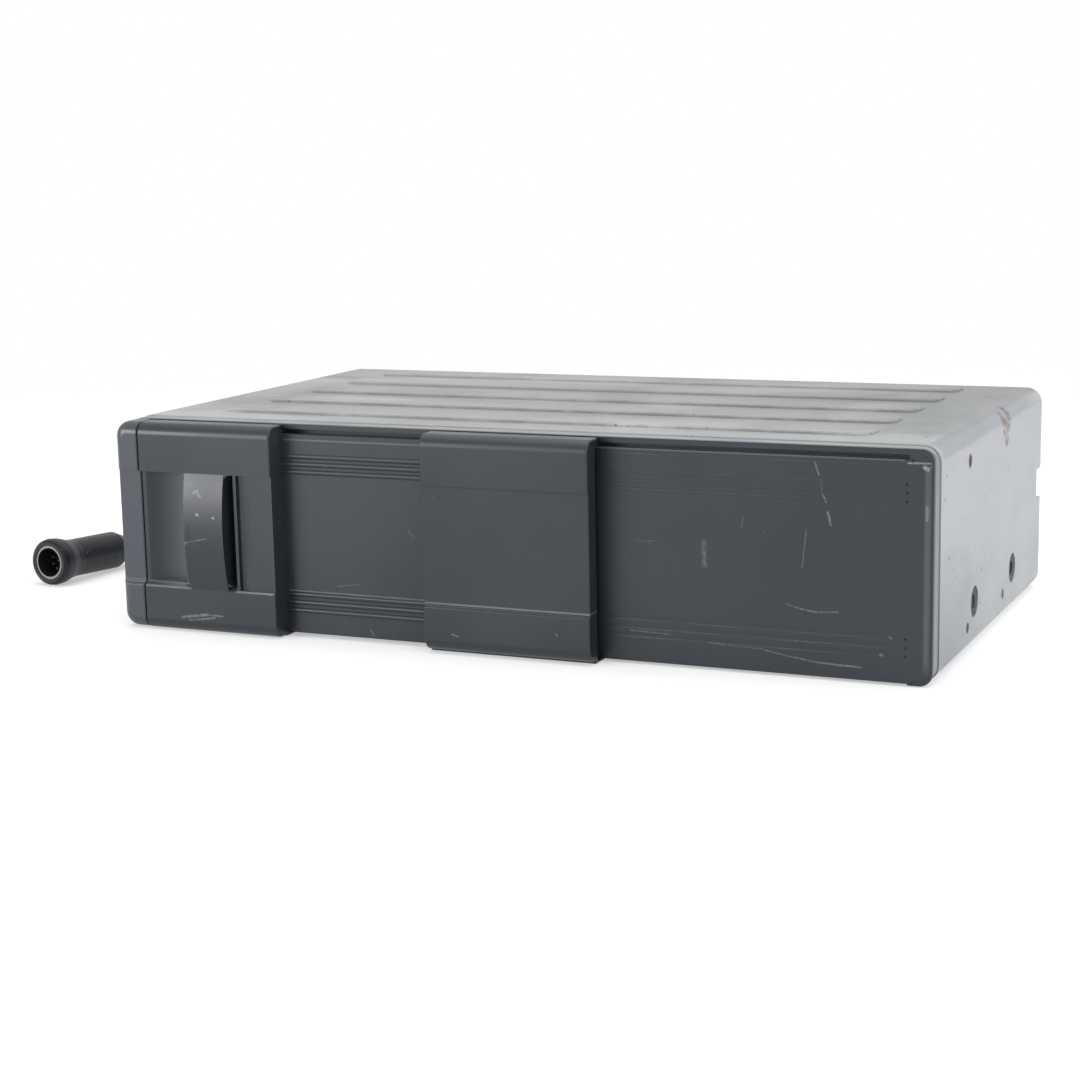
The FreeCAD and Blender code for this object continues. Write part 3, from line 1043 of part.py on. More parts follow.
def eject_spring():
    """Return spring around the plunger, between the tail plate and the bracket."""
    y0 = TAIL_Y + TAIL_T
    length = BRACKET_PLATE_Y[0] - GAP - y0
    steps = SPRING_TURNS * 12
    rise = (length - 2 * SPRING_WIRE) / steps
    points = []
    for i in range(steps + 1):
        a = 2 * math.pi * i / 12
        points.append(V(PLUNGER_X + SPRING_R * math.cos(a), y0 + SPRING_WIRE + rise * i,
                        PLUNGER_Z + SPRING_R * math.sin(a)))
    half = SPRING_WIRE / 2
    corner = [V(x, y0 + SPRING_WIRE + y, PLUNGER_Z) for x, y in
              ((PLUNGER_X + SPRING_R - half, -half), (PLUNGER_X + SPRING_R + half, -half),
               (PLUNGER_X + SPRING_R + half, half), (PLUNGER_X + SPRING_R - half, half))]
    section = Part.makePolygon(corner + corner[:1])
    return Part.Wire(Part.makePolygon(points)).makePipeShell([section], True, True, 1)


def magazine_latch():
    """Lever that hooks the magazine's notch; the plunger swings it clear."""
    px, py = LATCH_PIVOT
    z = (PLUNGER_Z - 0.7, PLUNGER_Z + 0.7)
    hook_x = MAG_X[1]
    tip = [py + reach for reach in LATCH_REACH]
    arm = prism([(px - 2.2, py - 1.5), (hook_x - 1.8, tip[0]), (hook_x - 1.8, tip[1]), (px - 2.2, py + 1.5)],
                "z", z)
    tail = box((px, px + LATCH_ARM + 2), (py - 1.0, py + 1.4), z)
    boss = rod("z", 3.0, (px, py), z)
    tooth = box((hook_x - 1.8, hook_x + 1.0), tip, (z[0], MAG_BOTTOM + 1.6))
    return fuse([arm, tail, boss, tooth]).cut(rod("z", POST_R + RUN, (px, py), (z[0] - 1, z[1] + 1)))


# ---------------------------------------------------------------- lead and connector
def place_connector(shape):
    """Move a shape made along +Z with its mouth at the origin to where the connector lies."""
    shape.rotate(V(0, 0, 0), V(1, 0, 0), -90 - CONN_DROP)
    shape.rotate(V(0, 0, 0), V(0, 0, 1), -CONN_TURN)
    shape.translate(CONN_MOUTH)
    return shape


def connector_tail():
    """Centre of the connector's rear face and the direction of the lead there."""
    down, turn = math.radians(CONN_DROP), math.radians(CONN_TURN)
    along = V(math.cos(down) * math.sin(turn), math.cos(down) * math.cos(turn), -math.sin(down))
    return CONN_MOUTH + along * CONN_LENGTH, along


def connector_body():
    """Moulded socket body: flared mouth, straight grip and a taper to the lead."""
    points = [(SOCKET_R, 0), (CONN_MOUTH_R - 1.2, 0), (CONN_MOUTH_R - 0.3, 0.7), (CONN_MOUTH_R, 2.2),
              (CONN_MOUTH_R - 0.25, 5.0), (CONN_GRIP_R + 0.3, 9.0), (CONN_GRIP_R, 12.0), (CONN_GRIP_R, 34.0),
              (CONN_GRIP_R - 0.8, 36.0), (CORD_R + 0.9, 42.0), (CORD_R + 0.9, CONN_LENGTH), (0, CONN_LENGTH),
              (0, SOCKET_DEPTH), (SOCKET_R, SOCKET_DEPTH)]
    outline = Part.makePolygon([V(r, 0, z) for r, z in points + points[:1]])
    return place_connector(Part.Face(outline).revolve(V(0, 0, 0), V(0, 0, 1), 360))


def connector_ring():
    """Metal shield lining the mouth."""
    return place_connector(tube("z", SOCKET_R, SOCKET_R - SOCKET_RING_T, (0, 0), (0.3, SOCKET_DEPTH - 1)))


def connector_core():
    """Insulator at the bottom of the socket with eight contacts."""
    base = rod("z", SOCKET_R - SOCKET_RING_T, (0, 0), (CORE_FACE, SOCKET_DEPTH))
    spots = [(0, 0)]
    for i in range(PIN_COUNT):
        a = math.radians(45 * i + 20)
        spots.append((PIN_CIRCLE_R * math.cos(a), PIN_CIRCLE_R * math.sin(a)))
    pins = [rod("z", CONTACT_R, spot, (PIN_TIP, CORE_FACE + 0.5)) for spot in spots]
    return place_connector(fuse([base] + pins))


def cord_grommet():
    """Rubber grommet of the lead in the rear panel."""
    x, z = CORD_EXIT
    inner = REAR_FACE - SHEET - SEAT
    neck = rod("y", GROMMET_R - 1.3, (x, z), (inner - 1.1, REAR_FACE + 0.2))
    cone = Part.makeCone(GROMMET_R, GROMMET_R - 1.0, 3.0, V(x, REAR_FACE, z), AXES["y"])
    return fuse([neck, cone, rod("y", GROMMET_R, (x, z), (inner - 1.2, inner))])


def cord_tube():
    """Lead along its route: straight runs joined by tangent arcs."""
    tail, along = connector_tail()
    points = [CORNER + V(*p) for p in CORD_ROUTE] + [tail + along * CORD_STRAIGHT, tail]
    edges = []
    start = points[0]
    for i in range(1, len(points) - 1):
        before = points[i - 1] - points[i]
        after = points[i + 1] - points[i]
        run = CORD_BEND * min(before.Length, after.Length)
        turn = math.pi - before.getAngle(after)
        if turn < 0.01:
            continue
        radius = run / math.tan(turn / 2)
        print("arc", i, "turn %.0f" % math.degrees(turn), "radius %.1f" % radius)
        before.normalize()
        after.normalize()
        a = points[i] + before * run
        b = points[i] + after * run
        bisector = before + after
        bisector.normalize()
        reach = math.hypot(run, radius) - radius
        edges.append(Part.makeLine(start, a))
        edges.append(Part.Arc(a, points[i] + bisector * reach, b).toShape())
        start = b
    edges.append(Part.makeLine(start, points[-1]))
    path = Part.Wire(edges)
    print("cord length %.1f" % path.Length)
    section = Part.Wire(Part.makeCircle(CORD_R, points[0], points[1] - points[0]))
    return path.makePipeShell([section], True, False)


# ---------------------------------------------------------------- nodes
NODES = {
    "case_cover": case_cover(),
    "front_rim": front_rim(),
    "bottom_plate": bottom_plate(),
    "rear_panel": rear_panel(),
    "bracket_bushes": bracket_bushes(),
    "case_screws": case_screws(),
    "front_frame": front_frame(),
    "slot_bezel": slot_bezel(),
    "sliding_door": sliding_door(),
    "centre_cover": centre_cover(),
    "magazine_shell": magazine_shell(),
    "magazine_guide": magazine_guide(),
    "mech_chassis": mech_chassis(),
    "damper_pads": damper_pads(),
    "main_board": main_board(),
    "cam_plate_front": cam_plate((CAM_FRONT - CAM_T, CAM_FRONT), True),
    "cam_plate_rear": cam_plate((CAM_REAR, CAM_REAR + CAM_T), False),
    "lift_shaft": lift_shaft(),
    "lift_motor": lift_motor(),
    "lift_pinion": lift_pinion(),
    "play_deck": play_deck(),
    "clamp_bridge": clamp_bridge(),
    "clamp_puck": clamp_puck(),
    "pickup_chassis": pickup_chassis(),
    "sled_rods": sled_rods(),
    "sled_screw": sled_screw(),
    "sled_motor": sled_motor(),
    "spindle_motor": spindle_motor(),
    "turntable": turntable(),
    "pickup_sled": pickup_sled(),
    "pickup_lens": pickup_lens(),
    "eject_button": eject_button(),
    "eject_spring": eject_spring(),
    "magazine_latch": magazine_latch(),
    "cord_grommet": cord_grommet(),
    "cord": cord_tube(),
    "connector_body": connector_body(),
    "connector_ring": connector_ring(),
    "connector_core": connector_core(),
}
for level in range(DISC_COUNT):
    NODES["tray_%d" % (level + 1)] = tray(level)
    NODES["disc_%d" % (level + 1)] = disc(level)

os.makedirs("parts", exist_ok=True)
for name, shape in NODES.items():
    shape.exportStep("parts/%s.step" % name)
print(len(NODES), "nodes")
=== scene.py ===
import math
import bpy
from mathutils import Euler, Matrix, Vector


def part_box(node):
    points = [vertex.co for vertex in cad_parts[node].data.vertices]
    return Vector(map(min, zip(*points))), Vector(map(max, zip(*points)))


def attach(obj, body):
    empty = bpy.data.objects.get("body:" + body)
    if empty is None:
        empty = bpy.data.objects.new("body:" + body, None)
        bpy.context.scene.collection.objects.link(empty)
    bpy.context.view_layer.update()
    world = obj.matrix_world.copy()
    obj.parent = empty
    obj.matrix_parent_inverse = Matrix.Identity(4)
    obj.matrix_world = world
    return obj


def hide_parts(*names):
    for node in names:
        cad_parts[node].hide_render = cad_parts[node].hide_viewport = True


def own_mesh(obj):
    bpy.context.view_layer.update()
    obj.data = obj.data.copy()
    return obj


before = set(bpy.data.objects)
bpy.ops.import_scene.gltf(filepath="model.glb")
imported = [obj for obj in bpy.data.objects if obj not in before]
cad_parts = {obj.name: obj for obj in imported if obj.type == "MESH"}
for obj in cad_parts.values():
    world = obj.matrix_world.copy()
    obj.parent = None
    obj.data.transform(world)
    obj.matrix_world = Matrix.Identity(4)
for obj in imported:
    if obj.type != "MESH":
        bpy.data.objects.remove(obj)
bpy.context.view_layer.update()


# ---- Case cover
# Folded steel sheet over the lid, both sides and the edges of the underside, painted grey after the five bars
# were pressed into the lid. Years in a car boot left haze and stains on the lid, dust on it, and paint rubbed
# through at the right-hand bend. Shade is painted along that bend and along the bars.
class Field:
    """A value over a surface. Sums on it add Math nodes to its finish."""

    def __init__(self, finish, socket):
        self.finish = finish
        self.socket = socket

    def maths(self, operation, *values):
        return self.finish.node("ShaderNodeMath", {"operation": operation}, dict(enumerate(values)))

    def __add__(self, other):
        return self.maths("ADD", self, other)

    __radd__ = __add__

    def __sub__(self, other):
        return self.maths("SUBTRACT", self, other)

    def __rsub__(self, other):
        return self.maths("SUBTRACT", other, self)

    def __mul__(self, other):
        return self.maths("MULTIPLY", self, other)

    __rmul__ = __mul__

    def __pow__(self, other):
        return self.maths("POWER", self, other)

    def __abs__(self):
        return self.maths("ABSOLUTE", self)

    def rounded(self):
        return self.maths("ROUND", self)

    def sine(self):
        return self.maths("SINE", self)

    def least(self, other):
        return self.maths("MINIMUM", self, other)

    def most(self, other):
        return self.maths("MAXIMUM", self, other)

    def between(self, low, high):
        """Smooth step: 0 at low and 1 at high, in either order."""
        steps = {0: self, 1: low, 2: high, 3: 0.0, 4: 1.0}
        return self.finish.node("ShaderNodeMapRange", {"interpolation_type": "SMOOTHSTEP"}, steps)


def tone(red, green, blue):
    """A colour as it is seen on a screen, 0 to 255, as the values that a shader takes."""
    def linear(c):
        c = c / 255
        return c / 12.92 if c <= 0.04045 else ((c + 0.055) / 1.055) ** 2.4
    return (linear(red), linear(green), linear(blue), 1.0)


class Shading:
    """The nodes of a surface or of the surroundings."""

    def __init__(self, owner):
        owner.use_nodes = True
        self.tree = owner.node_tree
        self.tree.nodes.clear()

    def node(self, kind, settings=None, sockets=None, out=0):
        """Any node: its settings first, then the values or links of its sockets."""
        made = self.tree.nodes.new(kind)
        for name, value in (settings or {}).items():
            setattr(made, name, value)
        for name, value in (sockets or {}).items():
            if isinstance(value, Field):
                self.tree.links.new(value.socket, made.inputs[name])
            else:
                made.inputs[name].default_value = value
        return Field(self, made.outputs[out]) if made.outputs else made


class Finish(Shading):
    """The finish of a surface, built up from fields over it in the object's own coordinates."""

    def __init__(self, name):
        self.material = bpy.data.materials.new(name)
        super().__init__(self.material)
        self.at = self.node("ShaderNodeTexCoord", out="Object")
        split = self.node("ShaderNodeSeparateXYZ", {}, {0: self.at}).socket.node
        self.x, self.y, self.z = [Field(self, along) for along in split.outputs]

    def noise(self, scale, detail=2.0, stretch=(1, 1, 1), rough=0.5, shift=0.0):
        """Cloudy noise, 0 to 1; scale is in features per metre."""
        at = self.node("ShaderNodeMapping", {}, {0: self.at, 1: (shift, shift, shift), 3: stretch})
        return self.node("ShaderNodeTexNoise", {},
                         {"Vector": at, "Scale": scale, "Detail": detail, "Roughness": rough})

    def mix(self, amount, first, second):
        return self.node("ShaderNodeMix", {"data_type": "RGBA"}, {0: amount, 6: first, 7: second}, out=2)

    def bump(self, height, depth, strength=0.5):
        """Normal of a surface whose height field is depth metres deep."""
        return self.node("ShaderNodeBump", {}, {"Height": height, "Distance": depth, "Strength": strength})

    def paint(self, colour, rough, metal=0.0, normal=None, **fixed):
        """Puts the fields on a Principled surface and that on the material."""
        sockets = {"Base Color": colour, "Roughness": rough, "Metallic": metal}
        sockets.update({name.replace("_", " "): value for name, value in fixed.items()})
        if normal is not None:
            sockets["Normal"] = normal
        surface = self.node("ShaderNodeBsdfPrincipled", {}, sockets)
        self.node("ShaderNodeOutputMaterial", {}, {"Surface": surface})
        return self.material


def strongest(fields):
    """The greatest of some fields at each place."""
    top = fields[0]
    for other in fields[1:]:
        top = top.most(other)
    return top


def spot(f, centre, radius, soft):
    """1 inside a ball round a point in metres, fading out over the soft share of its radius."""
    gap = f.node("ShaderNodeVectorMath", {"operation": "DISTANCE"}, {0: f.at, 1: centre}, out="Value")
    return gap.between(radius, radius * (1 - soft))


def scratch(f, across, start, end, width):
    """A hairline between two points across and up the face, gone at width from its line; in millimetres."""
    ax, az = start[0] / 1000, start[1] / 1000
    bx, bz = end[0] / 1000 - ax, end[1] / 1000 - az
    size = max(bx * bx + bz * bz, 1e-9)
    px, pz = across - ax, f.z - az
    along = ((px * (bx / size)) + (pz * (bz / size))).least(1.0).most(0.0)
    dx, dz = px - along * bx, pz - along * bz
    gap = (dx * dx + dz * dz) ** 0.5
    return gap.between(width / 1000, 0.0)


def use(material, *names):
    """Gives CAD nodes a finish."""
    for name in names:
        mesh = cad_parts[name].data
        mesh.materials.clear()
        mesh.materials.append(material)


side_face = 0.130
lid_start, lid_full = 0.0650, 0.0662
first_bar, bar_pitch = -0.0478, 0.0265
dark_dots = [((0.1221, -0.0454, 0.0665), 0.0008), ((side_face, -0.0504, 0.0332), 0.0007),
             ((side_face, -0.0562, 0.0508), 0.0006), ((side_face, -0.0314, 0.0410), 0.0006),
             ((side_face, -0.0440, 0.0290), 0.0006)]
bare_marks = [((19.6, 63.6), (20.6, 60.0), 3.0), ((27.2, 64.4), (26.4, 60.6), 3.0)]
rust_mark = ((22.8, 60.4), (23.8, 57.0), 3.6)
hole_rust = (side_face, -0.0257, 0.0572)
grey_enamel = tone(172, 175, 178)
lid_film = tone(144, 144, 140)
pale_haze = tone(205, 208, 210)
warm_stain = tone(118, 117, 112)
hand_smudge = tone(128, 132, 138)
front_dust = tone(190, 193, 196)
dark_smear = tone(122, 126, 130)
bend_painted_shade = tone(138, 142, 149)
lower_side_tone = tone(132, 136, 142)
bar_edge_painted_shade = tone(98, 98, 96)
pit_tone = tone(58, 56, 54)
dot_tone = tone(52, 50, 48)
bare_steel = tone(94, 91, 92)
rust_brown = tone(124, 84, 72)


def grey_paint(name, base):
    """Satin grey enamel on steel: haze, stains, smears, pits, sides darker towards the bottom, painted shade
    along the bars' front edges and the right-hand bend, and rust at that bend.
    """
    f = Finish(name)
    on_lid = f.z.between(lid_start, lid_full)
    haze = f.noise(17.0, detail=4.0, stretch=(0.7, 1.6, 1)).between(0.46, 0.68)
    stain = f.noise(26.0, detail=5.0, stretch=(0.6, 1.5, 1), shift=3.1).between(0.50, 0.68)
    rear = f.y.between(-0.03, 0.07)
    film = rear * f.x.between(-0.11, 0.02)
    colour = f.mix(on_lid * (0.66 + 0.22 * film), base, lid_film)
    colour = f.mix(haze * on_lid * (0.54 - 0.24 * film), colour, pale_haze)
    colour = f.mix(stain * on_lid * (0.30 + 0.32 * rear), colour, warm_stain)
    smudge = f.noise(26.0, detail=5.0, stretch=(1, 0.5, 1), rough=0.6, shift=7.7).between(0.48, 0.72)
    colour = f.mix(smudge * 0.16, colour, hand_smudge)
    front_haze = f.y.between(-0.035, -0.062) * on_lid
    colour = f.mix(front_haze * 0.2, colour, front_dust)
    # The right-hand end of the lid is dark with smears that stop at the bend.
    smears = f.noise(34.0, detail=5.0, stretch=(1, 0.7, 1), rough=0.6, shift=11.0).between(0.30, 0.62)
    right_end = f.x.between(0.086, 0.112) * f.x.between(side_face, 0.121) * f.y.between(-0.055, -0.035)
    colour = f.mix(smears * right_end * on_lid * 0.8, colour, dark_smear)
    # Painted shade: a dull bluish band with a ragged edge along the right-hand bend.
    ragged = f.x - f.z + 0.005 * (f.noise(75.0, detail=5.0, stretch=(1, 0.8, 1), rough=0.65, shift=6.1) - 0.5)
    band = ragged.between(0.0585, 0.0605) * ragged.between(0.0688, 0.0668)
    band = band * f.y.between(-0.0600, -0.0540) * f.y.between(0.078, 0.050)
    colour = f.mix(band * 0.62, colour, bend_painted_shade)
    # The sides turn darker towards the bottom and the front.
    low_side = f.z.between(0.045, 0.004) * f.y.between(0.03, -0.06)
    colour = f.mix(low_side * 0.9, colour, lower_side_tone)
    # Painted shade: a dark line along the front edge of each raised bar.
    row = (f.y - first_bar) * (1 / bar_pitch)
    off_edge = abs(row - row.rounded()) * bar_pitch
    along = abs(f.x).between(0.1078, 0.1048) * f.y.between(-0.056, -0.054) * on_lid
    line = off_edge.between(0.0007, 0.0001) * along * f.noise(90.0, detail=3.0, shift=4.4).between(0.30, 0.62)
    colour = f.mix(line * (0.5 - 0.3 * rear), colour, bar_edge_painted_shade)
    pits = f.noise(620.0, detail=1.0, shift=1.3).between(0.735, 0.76)
    pits = pits * f.noise(40.0, shift=5.0).between(0.45, 0.6)
    colour = f.mix(pits * 0.7, colour, pit_tone)
    dots = strongest([spot(f, place, size, soft=0.4) for place, size in dark_dots])
    colour = f.mix(dots * 0.85, colour, dot_tone)
    # Paint is chipped to bare steel and to rust where the bend has been knocked.
    chips = f.noise(420.0, detail=5.0, rough=0.7).between(0.42, 0.50)
    at_bend = f.x.between(0.1225, 0.1255)
    bare = strongest([scratch(f, f.y, *mark) for mark in bare_marks]).between(0.0, 0.4) * chips * at_bend
    rust = scratch(f, f.y, *rust_mark).between(0.0, 0.4) * chips * at_bend
    ring = spot(f, hole_rust, 0.0031, soft=0.45)
    colour = f.mix(bare * 0.9, colour, bare_steel)
    colour = f.mix(rust.most(ring * 0.5) * 0.85, colour, rust_brown)
    rough = 0.44 + 0.16 * smudge + 0.12 * haze * on_lid - 0.08 * f.noise(55.0, detail=3.0, shift=9.0)
    return f.paint(colour, rough, 0.0, f.bump(f.noise(1500.0, detail=3.0), 0.00003))


use(grey_paint("worn grey paint", grey_enamel), "case_cover")


# ---- Front rim
# The inner housing's edge, which shows as a narrow band round the front before it runs inside the cover.
# Same paint, darker and less worn, with grime in the joint to the cover, and its top painted lighter than its
# sides as painted light from above.
def rim_paint(name):
    f = Finish(name)
    on_lid = f.z.between(0.0635, 0.0660)
    # The top is painted lighter than the sides: painted light from above.
    base = f.mix(on_lid, tone(124, 129, 135), tone(156, 160, 164))
    cloud = f.noise(45.0, detail=4.0, shift=2.0).between(0.40, 0.72)
    colour = f.mix(cloud * 0.25, base, tone(112, 116, 122))
    joint = f.y.between(-0.0612, -0.0605)
    colour = f.mix(joint * 0.5, colour, tone(70, 72, 74))
    return f.paint(colour, 0.40 + 0.15 * cloud, 0.0, f.bump(f.noise(1500.0, detail=3.0), 0.00003))


use(rim_paint("rim paint"), "front_rim")


# ---- Underside, rear, bushes and screws
# Zinc-plated sheet and turned parts without paint. Plating shows as a fine cold grain with a faint cloud
# of yellow, dull where hands and tools have been.
def plated(name, base):
    f = Finish(name)
    cloud = f.noise(30.0, detail=3.0).between(0.35, 0.75)
    colour = f.mix(cloud * 0.5, base, tone(172, 168, 150))
    rough = 0.42 + 0.16 * f.noise(70.0, detail=4.0, shift=4.0)
    return f.paint(colour, rough, 0.85, f.bump(f.noise(900.0, detail=3.0), 0.00003))


def bush_metal(name):
    """The face in the side's hole is painted dark as painted shade; further in, the bush is painted bright as
    painted light in the deep hole.
    """
    f = Finish(name)
    deep = abs(f.x).between(0.1292, 0.1284)
    colour = f.mix(deep, tone(62, 64, 67), tone(225, 225, 222))
    return f.paint(colour, 0.5 + 0.1 * f.noise(260.0), Specular_IOR_Level=0.3)


zinc = plated("zinc plate", tone(178, 178, 174))
use(zinc, "bottom_plate", "rear_panel", "case_screws")
use(bush_metal("bush painted shade and light"), "bracket_bushes")


# ---- Front moulding
# Left end cap, fixed panel at the right and the door's rails, injection-moulded in one dark grey piece.
# The panel has been rubbed by the cover that slides over it and scratched by luggage.
charcoal = tone(31, 37, 44)
wear_and_highlight_grey = tone(142, 147, 152)


def dark_plastic(name, base, marks, rubs=(), nicks=(), edges=(), patches=()):
    """Satin dark grey moulding with its wear, painted highlights and painted light and shade, in millimetres
    except for the patches.

    A mark is a light line from start to end, with its half width and strength; a nick is a dark one.
    A rub is a level band worn by a slide: height, half breadth, both ends along X and strength.
    An edge is a painted highlight along an edge: height, half breadth, both ends along X and strength.
    A patch is painted light or shade: a box in X and Z from low to high, in metres, that fades out over left,
    right and below.
    """
    f = Finish(name)
    cloud = f.noise(22.0, detail=4.0).between(0.35, 0.7)
    dust = f.noise(1300.0, detail=1.0, shift=2.0).between(0.78, 0.82)
    colour = f.mix(cloud * 0.25, base, tone(43, 50, 57))
    colour = f.mix(dust * 0.3, colour, tone(150, 152, 152))
    for low, high, left, right, below, shade, amount in patches:
        inside = f.x.between(low[0] - left, low[0]) * f.x.between(high[0] + right, high[0])
        inside = inside * f.z.between(low[1] - below, low[1]) * f.z.between(high[1] + 0.001, high[1])
        colour = f.mix(inside * amount, colour, shade)
    worn = [scratch(f, f.x, start, end, width) * amount for start, end, width, amount in marks]
    for z, spread, x0, x1, amount in rubs:
        line = abs(f.z - z / 1000).between(spread / 1000, 0.0)
        streak = f.noise(60.0, detail=4.0, stretch=(1, 1, 60), rough=0.7, shift=z).between(0.42, 0.66)
        reach = f.x.between(x0 / 1000, x0 / 1000 + 0.004) * f.x.between(x1 / 1000, x1 / 1000 - 0.02)
        worn.append(line * streak * reach * amount)
    broken = f.noise(1100.0, detail=3.0, rough=0.7, shift=6.0).between(0.44, 0.60)
    worn = strongest(worn) * (0.42 + 0.62 * broken)
    colour = f.mix(worn, colour, wear_and_highlight_grey)
    uneven = 0.45 + 0.75 * f.noise(160.0, detail=3.0, shift=8.0)
    for z, breadth, x0, x1, amount in edges:
        line = abs(f.z - z / 1000).between(breadth / 1000, breadth / 2000)
        reach = f.x.between(x0 / 1000 - 0.001, x0 / 1000) * f.x.between(x1 / 1000 + 0.001, x1 / 1000)
        colour = f.mix(line * reach * uneven * amount, colour, wear_and_highlight_grey)
    for start, end, width, amount in nicks:
        colour = f.mix(scratch(f, f.x, start, end, width) * amount, colour, tone(14, 15, 16))
    rough = 0.31 + 0.10 * cloud + 0.15 * worn
    return f.paint(colour, rough, 0.0, f.bump(f.noise(2600.0), 0.00001))


panel_marks = [
    ((96.4, 61.5), (97.6, 58.0), 0.45, 0.5), ((98.1, 56.7), (98.5, 53.2), 0.35, 0.25),
    ((98.7, 52.7), (99.6, 50.5), 0.45, 0.5), ((100.1, 47.9), (101.0, 44.2), 0.55, 0.7),
    ((63.8, 37.3), (64.0, 30.4), 1.3, 0.28), ((63.9, 34.6), (63.9, 33.4), 0.8, 0.6),
    ((94.0, 42.6), (92.8, 31.7), 0.35, 0.3), ((75.6, 45.3), (75.1, 42.0), 0.4, 0.18),
    ((88.2, 21.1), (92.4, 19.9), 0.35, 0.35), ((92.4, 19.9), (96.6, 19.3), 0.4, 0.5),
    ((96.6, 19.3), (103.0, 19.7), 0.45, 0.45), ((81.6, 7.3), (88.7, 6.1), 0.35, 0.35),
    ((88.7, 6.1), (97.1, 4.9), 0.4, 0.45), ((97.1, 4.9), (109.9, 4.5), 0.45, 0.6),
    ((43.3, 36.5), (48.7, 36.7), 0.3, 0.18), ((64.9, 8.1), (81.1, 7.5), 0.3, 0.3),
    ((41.3, 10.0), (53.4, 9.6), 0.35, 0.35), ((115.2, 8.5), (115.8, 8.5), 0.6, 0.6),
    # The second mark on the next line is a painted highlight on the panel's rounded top-right corner.
    ((117.7, 13.8), (118.3, 13.5), 0.5, 0.5), ((127.2, 61.3), (127.9, 60.9), 0.9, 1.5),
    ((127.9, 50.5), (127.9, 47.0), 0.7, 0.6)]
panel_rubs = [(56.9, 0.35, 34, 108, 0.14), (51.5, 0.35, 34, 112, 0.14), (13.2, 0.4, 34, 120, 0.26),
              (10.6, 0.4, 34, 121, 0.3), (8.1, 0.4, 34, 116, 0.3), (61.8, 0.3, 34, 122, 0.2)]
# Painted highlights along the panel's top edge and the end cap's lower step.
panel_edge_highlights = [(63.1, 0.3, 30.0, 121.0, 0.3), (62.4, 0.3, 122.9, 128.3, 0.9),
               (15.2, 0.4, -129.8, -121.2, 0.4)]
# Dark grooves, each from the cover's side to its own end.
groove_ends = [(56.0, 96), (53.4, 104), (50.9, 108), (14.4, 118), (11.8, 118), (9.3, 118)]
panel_nicks = [((33, z), (x, z), 0.22, 0.5) for z, x in groove_ends]
# Painted light: the left end cap painted lighter where the light from the left falls on it, and a painted
# highlight down the right end of the fixed panel.
panel_patches = [((-0.1300, 0.0), (-0.1220, 0.0665), 0.001, 0.001, 0.001, tone(66, 71, 79), 0.9),
                 ((0.1278, 0.0080), (0.1284, 0.0605), 0.0010, 0.0007, 0.006, tone(96, 102, 109), 0.5)]
use(dark_plastic("panel plastic", charcoal, panel_marks, panel_rubs, panel_nicks, panel_edge_highlights,
                 panel_patches), "front_frame")


# ---- Sliding door
# One moulding: the ribbed panel and, at its left, the block with the finger scoop and the grip bar. The bar
# is polished and chipped by fingers, and its upper half carries a painted highlight.
door_marks = [
    ((-54.6, 16.8), (-46.8, 18.1), 0.35, 0.25), ((-43.4, 4.0), (-42.5, 2.2), 0.4, 0.5),
    ((-29.6, 35.5), (-27.6, 33.5), 0.35, 0.25), ((-107.0, 4.9), (-98.1, 6.2), 0.7, 0.75),
    ((-98.1, 6.2), (-92.3, 6.1), 0.5, 0.6), ((-104.4, 4.1), (-95.1, 5.4), 0.5, 0.5),
    ((-103.6, 29.2), (-95.6, 30.9), 0.35, 0.5), ((-103.9, 29.4), (-103.7, 28.9), 0.7, 0.8),
    ((-99.9, 45.0), (-98.6, 45.6), 0.7, 1.6), ((-98.4, 44.6), (-97.6, 44.0), 0.7, 1.4),
    ((-98.9, 38.4), (-98.5, 38.2), 0.6, 3.0), ((-93.0, 37.5), (-92.7, 37.5), 0.5, 3.0)]
door_nicks = [((-102.2, 34.8), (-102.2, 30.2), 0.9, 1.0)]
# Painted highlights along the block's steps and the ribbed panel's top and lower edges.
door_edge_highlights = [(14.3, 0.35, -120.3, -103.8, 0.75), (15.6, 0.3, -120.3, -103.8, 0.35),
              (14.3, 0.35, -86.4, -74.0, 0.85), (61.7, 0.3, -71.0, -22.0, 0.4),
              (14.6, 0.3, -71.0, -22.0, 0.4)]
# Painted light: the finger scoop lighter towards the bar, the pocket right of the bar lighter so its gap
# isn't black, a painted reflection on the block's right flank and a painted highlight on the bar's upper
# half.
door_patches = [((-0.1060, 0.0150), (-0.1040, 0.0500), 0.012, 0.0003, 0.001, tone(90, 97, 102), 0.95),
                ((-0.0895, 0.0150), (-0.0870, 0.0505), 0.0003, 0.0003, 0.001, tone(42, 47, 52), 0.9),
                ((-0.0733, 0.0030), (-0.0725, 0.0640), 0.0003, 0.0003, 0.001, tone(46, 51, 56), 0.8),
                ((-0.1035, 0.0400), (-0.0900, 0.0480), 0.0005, 0.0005, 0.018, tone(52, 56, 59), 0.5)]
use(dark_plastic("door plastic", charcoal, door_marks, nicks=door_nicks, edges=door_edge_highlights,
                 patches=door_patches), "sliding_door")


# ---- Centre cover
# Hollow plastic moulding, open at the rear, whose lips hold it on the front's rails. It hides the joint
# between door and fixed panel, and runs on over the panel when the front is opened.
cover_marks = [((-12.4, 6.5), (-10.2, 5.9), 0.4, 0.7), ((21.3, 9.2), (21.6, 8.9), 0.5, 0.6)]
# Painted shadow lines along the cover's upper and lower steps.
cover_painted_shadow_lines = [((-21.3, 50.7), (31.6, 50.7), 0.5, 1.0), ((-21.3, 14.6), (31.6, 14.6), 0.3, 0.6)]
